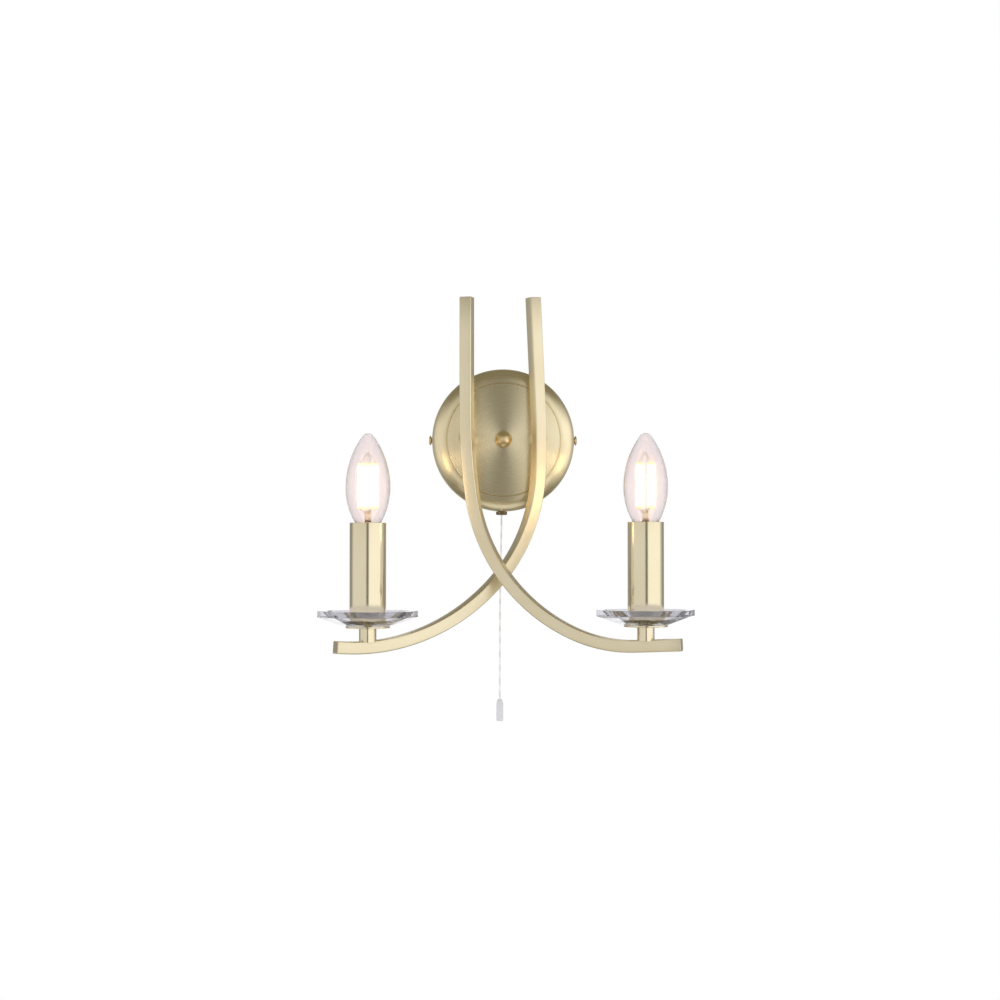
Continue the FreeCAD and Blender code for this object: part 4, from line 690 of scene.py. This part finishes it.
class WALLLIGHT_OT_dishes(bpy.types.Operator):
    """Eight-sided cut crystal drip dishes"""

    bl_idname = "walllight.dishes"
    bl_label = "Crystal Dishes"

    def execute(self, context):
        size = sizes()
        for side in ("left", "right"):
            piece = keep(side + "_dish_cut", self.dish(size, foot(side + "_crystal_dish")),
                         "crystal", "root", "crystal", side + "_crystal_dish", sharp=12.0)
            piece.visible_shadow = False
        return {"FINISHED"}

    def dish(self, size, base):
        """Foot, flared underside, upright band and a hollowed top, with eased cuts."""
        foot_corner, flare_rise, band_rise = 18.6, 7.5, 4.8
        mesh = bmesh.new()
        bmesh.ops.create_circle(mesh, cap_ends=False, segments=8, radius=foot_corner * MM)
        first = mesh.edges[:]
        bmesh.ops.rotate(mesh, verts=mesh.verts[:], cent=Vector(),
                         matrix=Matrix.Rotation(math.radians(size.dish_turn), 3, "Z"))
        ring = self.lift(mesh, first, size.dish_corner / foot_corner, flare_rise)
        ring = self.lift(mesh, ring, 1.0, band_rise)
        bmesh.ops.holes_fill(mesh, edges=first, sides=0)
        bmesh.ops.holes_fill(mesh, edges=ring, sides=0)
        bmesh.ops.recalc_face_normals(mesh, faces=mesh.faces[:])
        block = as_object("dish_block", ease(mesh, 0.35, 2, 20.0))
        cutter = as_object("dish_well", Outline.through(*DISH_WELL).spin(96))
        hollow = block.modifiers.new("well", "BOOLEAN")
        hollow.operation = "DIFFERENCE"
        hollow.solver = "EXACT"
        hollow.object = cutter
        bpy.context.view_layer.update()
        result = bpy.data.meshes.new_from_object(
            block.evaluated_get(bpy.context.evaluated_depsgraph_get()))
        done = bmesh.new()
        done.from_mesh(result)
        bmesh.ops.remove_doubles(done, verts=done.verts[:], dist=1e-6)
        bmesh.ops.recalc_face_normals(done, faces=done.faces[:])
        for item in (block, cutter):
            data = item.data
            bpy.data.objects.remove(item)
            bpy.data.meshes.remove(data)
        bpy.data.meshes.remove(result)
        return stand(done, base)

    def lift(self, mesh, edges, factor, rise):
        """Extrude a ring of edges up and out."""
        made = bmesh.ops.extrude_edge_only(mesh, edges=edges)["geom"]
        verts = [item for item in made if isinstance(item, bmesh.types.BMVert)]
        ring = [item for item in made if isinstance(item, bmesh.types.BMEdge)
                and item.verts[0] in verts and item.verts[1] in verts]
        bmesh.ops.scale(mesh, verts=verts, vec=Vector((factor, factor, 1.0)))
        # One product, because the eased corners change with the last digit of the rise.
        bmesh.ops.translate(mesh, verts=verts, vec=Vector((0.0, 0.0, rise * MM)))
        return ring


BULB_STEM = ((0.0, 0.0), (7.2, 0.0), (6.2, 1.0), (3.6, 2.8), (2.6, 5.0), (2.3, 9.5),
             (2.6, 11.0), (2.1, 12.4), (1.2, 13.2), (0.0, 13.5))
# Across and along from the bulb's foot to where its support wires leave the stem.
WIRE_FOOT = (1.04, 10.5)
WIRE_RADIUS = 0.3
# From the rods' tops to where their wires meet.
CROWN_RISE = 9.0


class WALLLIGHT_OT_bulbs(bpy.types.Operator):
    """Lit clear candle bulbs: glass, glass stem, support wires and filament rods"""

    bl_idname = "walllight.bulbs"
    bl_label = "Candle Bulbs"

    def execute(self, context):
        size = sizes()
        for side in ("left", "right"):
            body = side + "_bulb"
            base = foot(side + "_bulb_glass")
            mesh = stand(self.glass(size), base)
            piece = keep(side + "_bulb_blown", mesh, "glass", body, "bulb_glass",
                         side + "_bulb_glass")
            piece.visible_shadow = False
            stem = stand(Outline.through(*BULB_STEM).spin(40), base)
            # The glass stem's yellow tint is painted glow from the lit rods.
            piece = keep(side + "_bulb_mount", stem, "stem", body, "bulb_glass",
                         side + "_bulb_stem", sharp=80.0)
            piece.visible_shadow = False
            rods, wires = self.filaments(size, base)
            keep(side + "_bulb_rods", rods, "phosphor", body, "filament", side + "_bulb_filaments")
            keep(side + "_bulb_wires", wires, "nickel", body, "nickel", side + "_bulb_supports")
        return {"FINISHED"}

    def filaments(self, size, base):
        """Rods in a ring, each on a wire from the stem, with a wire to where all of them meet."""
        rods = []
        wires = []
        radius, length = size.filament_radius, size.filament_length
        crown = base + UP * (size.filament_rise + length + CROWN_RISE) * MM
        for index in range(size.filament_count):
            angle = 2 * math.pi * index / size.filament_count + math.radians(size.filament_turn)
            way = Vector((math.cos(angle), math.sin(angle), 0.0))
            low = base + (way * size.filament_spread + UP * size.filament_rise) * MM
            rod = Outline.through((0.0, 0.0), (radius, 0.0), (radius, length), (0.0, length))
            mesh = ease(rod.spin(16), 0.25, 2)
            # The long edges are cut up, so that the glow's share can change along them.
            sides = [edge for edge in mesh.edges if edge.calc_length() > length / 4 * MM]
            bmesh.ops.subdivide_edges(mesh, edges=sides, cuts=24)
            share = mesh.verts.layers.float.new("share")
            for vert in mesh.verts:
                vert[share] = vert.co.z / (length * MM)
            rods.append(stand(mesh, low))
            wires.append(self.wire(base + (way * WIRE_FOOT[0] + UP * WIRE_FOOT[1]) * MM, low))
            wires.append(self.wire(low + UP * length * MM, crown))
        return rods, wires

    def wire(self, start, finish):
        """A thin straight support wire."""
        reach = (finish - start).length / MM
        rod = Outline.through((0.0, 0.0), (WIRE_RADIUS, 0.0), (WIRE_RADIUS, reach),
                              (0.0, reach))
        return stand(rod.spin(8), start, (finish - start).normalized())

    def glass(self, size):
        """Two arcs that meet at the widest place and a round tip, outside and inside."""
        radius, waist, tip = size.bulb_radius, size.bulb_waist, size.bulb_tip
        rise = size.bulb_height - tip - waist
        narrowing = radius - size.bulb_foot
        belly = (waist ** 2 + narrowing ** 2) / (2 * narrowing)
        # The crown's arc leaves the widest place upright and touches the tip's round.
        crown = (radius ** 2 + rise ** 2 - tip ** 2) / (2 * (radius - tip))
        low = math.degrees(math.asin(waist / belly))
        low_inside = math.degrees(math.asin(waist / (belly - size.bulb_wall)))
        high = math.degrees(math.atan2(rise, crown - radius))
        blown = Outline(size.bulb_foot, 0.0).arc(radius - belly, waist, -low, 24)
        blown.arc(radius - crown, waist, -high, 36).arc(0.0, waist + rise, high - 90.0, 10)
        blown.line(0.0, size.bulb_height - size.bulb_wall)
        blown.arc(0.0, waist + rise, 90.0 - high, 10).arc(radius - crown, waist, high, 36)
        blown.arc(radius - belly, waist, low_inside, 24).line(size.bulb_foot, 0.0)
        return blown.spin(96)


# The cord's route from its outlet to the pull, in millimetres.
CORD_ROUTE = ((-1.2, -8.0, -63.2), (-1.38, -8.0, -83.37), (-2.625, -8.0, -125.26),
              (-2.7, -8.0, -218.35))
PULL_BELL = ((0.0, 0.0), (1.32, 0.0), (1.9, 0.35), (2.2, 1.0), (2.45, 2.2), (2.9, 3.5),
             (2.9, 17.9), (2.6, 18.5), (0.0, 18.5))


class WALLLIGHT_OT_pull_cord(bpy.types.Operator):
    """Pull cord hanging from its outlet, with the pull on its end"""

    bl_idname = "walllight.pull_cord"
    bl_label = "Pull Cord"

    def execute(self, context):
        size = sizes()
        route = [Vector(point) * MM for point in CORD_ROUTE]
        data = bpy.data.curves.new("pull_cord_braid", "CURVE")
        data.dimensions = "3D"
        spline = data.splines.new("NURBS")
        spline.points.add(len(route) - 1)
        for point, place in zip(spline.points, route):
            point.co = (*place, 1.0)
        spline.order_u = 3
        spline.use_endpoint_u = True
        data.resolution_u = 24
        data.bevel_depth = size.cord_radius * MM
        data.bevel_resolution = 4
        data.use_fill_caps = True
        data.materials.append(FINISHES["cord"])
        braid = bpy.data.objects.new("pull_cord_braid", data)
        bpy.context.scene.collection.objects.link(braid)
        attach(braid, "cord")
        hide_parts("pull_cord")
        mesh = ease(Outline.through(*PULL_BELL).spin(48), 0.15, 3, 20.0)
        stand(mesh, route[-1], -UP)
        pull = keep("pull_bell", mesh, "white", "cord", "white_plastic", "cord_pull")
        return {"FINISHED"}


CAD_FINISHES = (
    ("raw", ("front_arm_nipple", "back_arm_nipple", "front_arm_nut", "back_arm_nut",
             "switch_contacts", "outlet_nut", "centre_stud")),
    # The cord outlet's darkened brass is painted shade.
    ("browned", ("cord_outlet",)),
    ("steel", ("wall_bracket", "earth_screw", "reinforcing_bar", "arm_lock_washers",
               "terminal_screws", "return_spring")),
    ("white", ("switch_body", "switch_cover", "switch_slider", "terminal_block")),
    ("knob", ("front_arm_boss", "back_arm_boss")),
    ("tube", ("arm_end_plugs",)),
)
LAMP_FINISHES = (
    ("raw", ("lamp_nipple", "lamp_nut", "centre_contact", "thread_shell")),
    ("tube", ("stem",)),
    ("nickel", ("bulb_cap",)),
    ("black", ("bulb_contact",)),
    ("holder", ("lampholder",)),
    ("lead", ("lead",)),
)


class WALLLIGHT_OT_cad_finishes(bpy.types.Operator):
    """Finishes on the CAD nodes that are shown as they are"""

    bl_idname = "walllight.cad_finishes"
    bl_label = "Finishes on CAD Pieces"

    def execute(self, context):
        for finish, names in CAD_FINISHES:
            for name in names:
                self.dress(name, finish)
        for side in ("left", "right"):
            for finish, names in LAMP_FINISHES:
                for name in names:
                    self.dress(f"{side}_{name}", finish)
        return {"FINISHED"}

    def dress(self, name, finish):
        """Give a CAD node one finish all over."""
        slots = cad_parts[name].material_slots
        if not slots:
            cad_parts[name].data.materials.append(FINISHES[finish])
        for slot in slots:
            slot.material = FINISHES[finish]


# A plain studio: a fill box on the left, a brighter key box on the right, a gap at the camera
# between them, and a grey room behind. Degrees from the camera's side, to the right.
STUDIO_BANDS = (
    (-180, "888888"), (-120, "888888"), (-100, "CCCCCC"), (-10, "CCCCCC"), (-5, "686868"),
    (5, "686868"), (10, "F0F0F0"), (90, "F0F0F0"), (120, "888888"), (180, "888888"),
)
STUDIO_CEILING = "6C6858"
# The ceiling and the ground begin and are full at these heights, as the sine of the elevation.
CEILING_STARTS, CEILING_FULL = 0.25, 0.65
# How bright the soft boxes are in the metal. All other light is plain white of strength 1.
STUDIO_LEVEL = 1.35
# Past this share of the way straight back, the metal shows the white background.
STRAIGHT_BEHIND = 0.95
FLOOR_RADIUS, FLOOR_PLACE = 0.6, (0.0, -0.2, -1.5)
CAMERA_PLACE = (-0.055, -1.700, -0.096)
# Radians up from level, and to the left.
CAMERA_TILT, CAMERA_TURN = 0.027, -0.031


class WALLLIGHT_OT_stage(bpy.types.Operator):
    """White studio, pale floor and the camera at the photograph's angle"""

    bl_idname = "walllight.stage"
    bl_label = "Stage"

    def execute(self, context):
        scene = context.scene
        scene.view_settings.view_transform = "Standard"
        self.studio(scene)
        self.floor()
        lens = bpy.data.cameras.new("studio_camera")
        lens.lens = 72.0
        lens.sensor_width = 36.0
        lens.clip_end = 50.0
        camera = bpy.data.objects.new("studio_camera", lens)
        scene.collection.objects.link(camera)
        camera.location = CAMERA_PLACE
        camera.rotation_euler = (math.pi / 2 + CAMERA_TILT, 0.0, CAMERA_TURN)
        scene.camera = camera
        return {"FINISHED"}

    def studio(self, scene):
        """Plain white light of strength 1, and the soft boxes that the metal mirrors."""
        world = bpy.data.worlds.new("soft_studio")
        world.use_nodes = True
        scene.world = world
        tree = world.node_tree
        tree.nodes.clear()
        way = add(tree, "ShaderNodeTexCoord").outputs["Generated"]
        parts = add(tree, "ShaderNodeSeparateXYZ", inputs={"Vector": way})
        ahead = add(tree, "ShaderNodeMath", {"operation": "MULTIPLY"},
                    {0: parts.outputs["Y"], 1: -1.0})
        # 0 is behind the object on the left, 0.5 is towards the camera, 1 behind on the right.
        angle = add(tree, "ShaderNodeMath", {"operation": "ARCTAN2"},
                    {0: parts.outputs["X"], 1: ahead.outputs[0]})
        turn = add(tree, "ShaderNodeMapRange", inputs={
            "Value": angle.outputs[0], "From Min": -math.pi, "From Max": math.pi})
        stops = [((degrees + 180) / 360, colour) for degrees, colour in STUDIO_BANDS]
        bands = add(tree, "ShaderNodeValToRGB", {"stops": stops},
                    {"Fac": turn.outputs["Result"]})
        height = add(tree, "ShaderNodeMath", {"operation": "ABSOLUTE"},
                     {0: parts.outputs["Z"]})
        share = add(tree, "ShaderNodeMapRange", inputs={
            "Value": height.outputs[0], "From Min": CEILING_STARTS, "From Max": CEILING_FULL})
        # A colour mix has its two colours on sockets 6 and 7.
        sky = add(tree, "ShaderNodeMix", {"data_type": "RGBA"}, {
            "Factor": share.outputs["Result"], 6: bands.outputs["Color"],
            7: linear(STUDIO_CEILING)})
        path = add(tree, "ShaderNodeLightPath")
        # What has come through glass is left out here, so it shows the white background.
        mirror = add(tree, "ShaderNodeMath", {"operation": "SUBTRACT"}, {
            0: path.outputs["Is Glossy Ray"], 1: path.outputs["Is Transmission Ray"]})
        before = add(tree, "ShaderNodeMath", {"operation": "LESS_THAN"},
                     {0: parts.outputs["Y"], 1: STRAIGHT_BEHIND})
        boxes = add(tree, "ShaderNodeMath", {"operation": "MULTIPLY", "use_clamp": True}, {
            0: mirror.outputs[0], 1: before.outputs[0]})
        plain = add(tree, "ShaderNodeBackground", inputs={
            "Color": (1.0, 1.0, 1.0, 1.0), "Strength": 1.0})
        soft = add(tree, "ShaderNodeBackground", inputs={
            "Color": sky.outputs[2], "Strength": STUDIO_LEVEL})
        both = add(tree, "ShaderNodeMixShader", inputs={
            0: boxes.outputs[0], 1: plain.outputs[0], 2: soft.outputs[0]})
        add(tree, "ShaderNodeOutputWorld", inputs={"Surface": both.outputs[0]})

    def floor(self):
        """A pale round floor well under the wall light."""
        mesh = bmesh.new()
        bmesh.ops.create_circle(mesh, cap_ends=True, segments=96, radius=FLOOR_RADIUS)
        bmesh.ops.translate(mesh, verts=mesh.verts[:], vec=Vector(FLOOR_PLACE))
        floor = as_object("studio_floor", mesh)
        # Matt painted board: pale and even.
        floor.data.materials.append(plain_finish("pale_studio_floor", "F4F4F4", "F0F0F0", 0.9))


# The operators in the order in which they run.
STEPS = (
    "finishes", "backplate", "knob", "arms", "candles", "dishes", "bulbs", "pull_cord",
    "cad_finishes", "stage",
)


class WALLLIGHT_PT_panel(bpy.types.Panel):
    """The wall light's operators, sizes and colours"""

    bl_idname = "WALLLIGHT_PT_panel"
    bl_label = "Wall Light"
    bl_space_type = "VIEW_3D"
    bl_region_type = "UI"
    bl_category = "Wall Light"

    def draw(self, context):
        for name in STEPS:
            self.layout.operator("walllight." + name)
        for group in (context.scene.wall_light_sizes, context.scene.wall_light_colours):
            for name in type(group).__annotations__:
                self.layout.prop(group, name)


CLASSES = (
    WallLightSizes,
    WallLightColours,
    WALLLIGHT_OT_finishes,
    WALLLIGHT_OT_backplate,
    WALLLIGHT_OT_knob,
    WALLLIGHT_OT_arms,
    WALLLIGHT_OT_candles,
    WALLLIGHT_OT_dishes,
    WALLLIGHT_OT_bulbs,
    WALLLIGHT_OT_pull_cord,
    WALLLIGHT_OT_cad_finishes,
    WALLLIGHT_OT_stage,
    WALLLIGHT_PT_panel,
)


def register():
    for item in CLASSES:
        bpy.utils.register_class(item)
    bpy.types.Scene.wall_light_sizes = PointerProperty(type=WallLightSizes)
    bpy.types.Scene.wall_light_colours = PointerProperty(type=WallLightColours)


def unregister():
    del bpy.types.Scene.wall_light_colours
    del bpy.types.Scene.wall_light_sizes
    for item in reversed(CLASSES):
        bpy.utils.unregister_class(item)


def main():
    """Build the whole wall light."""
    register()
    for name in STEPS:
        getattr(bpy.ops.walllight, name)()


if __name__ == "__main__":
    main()
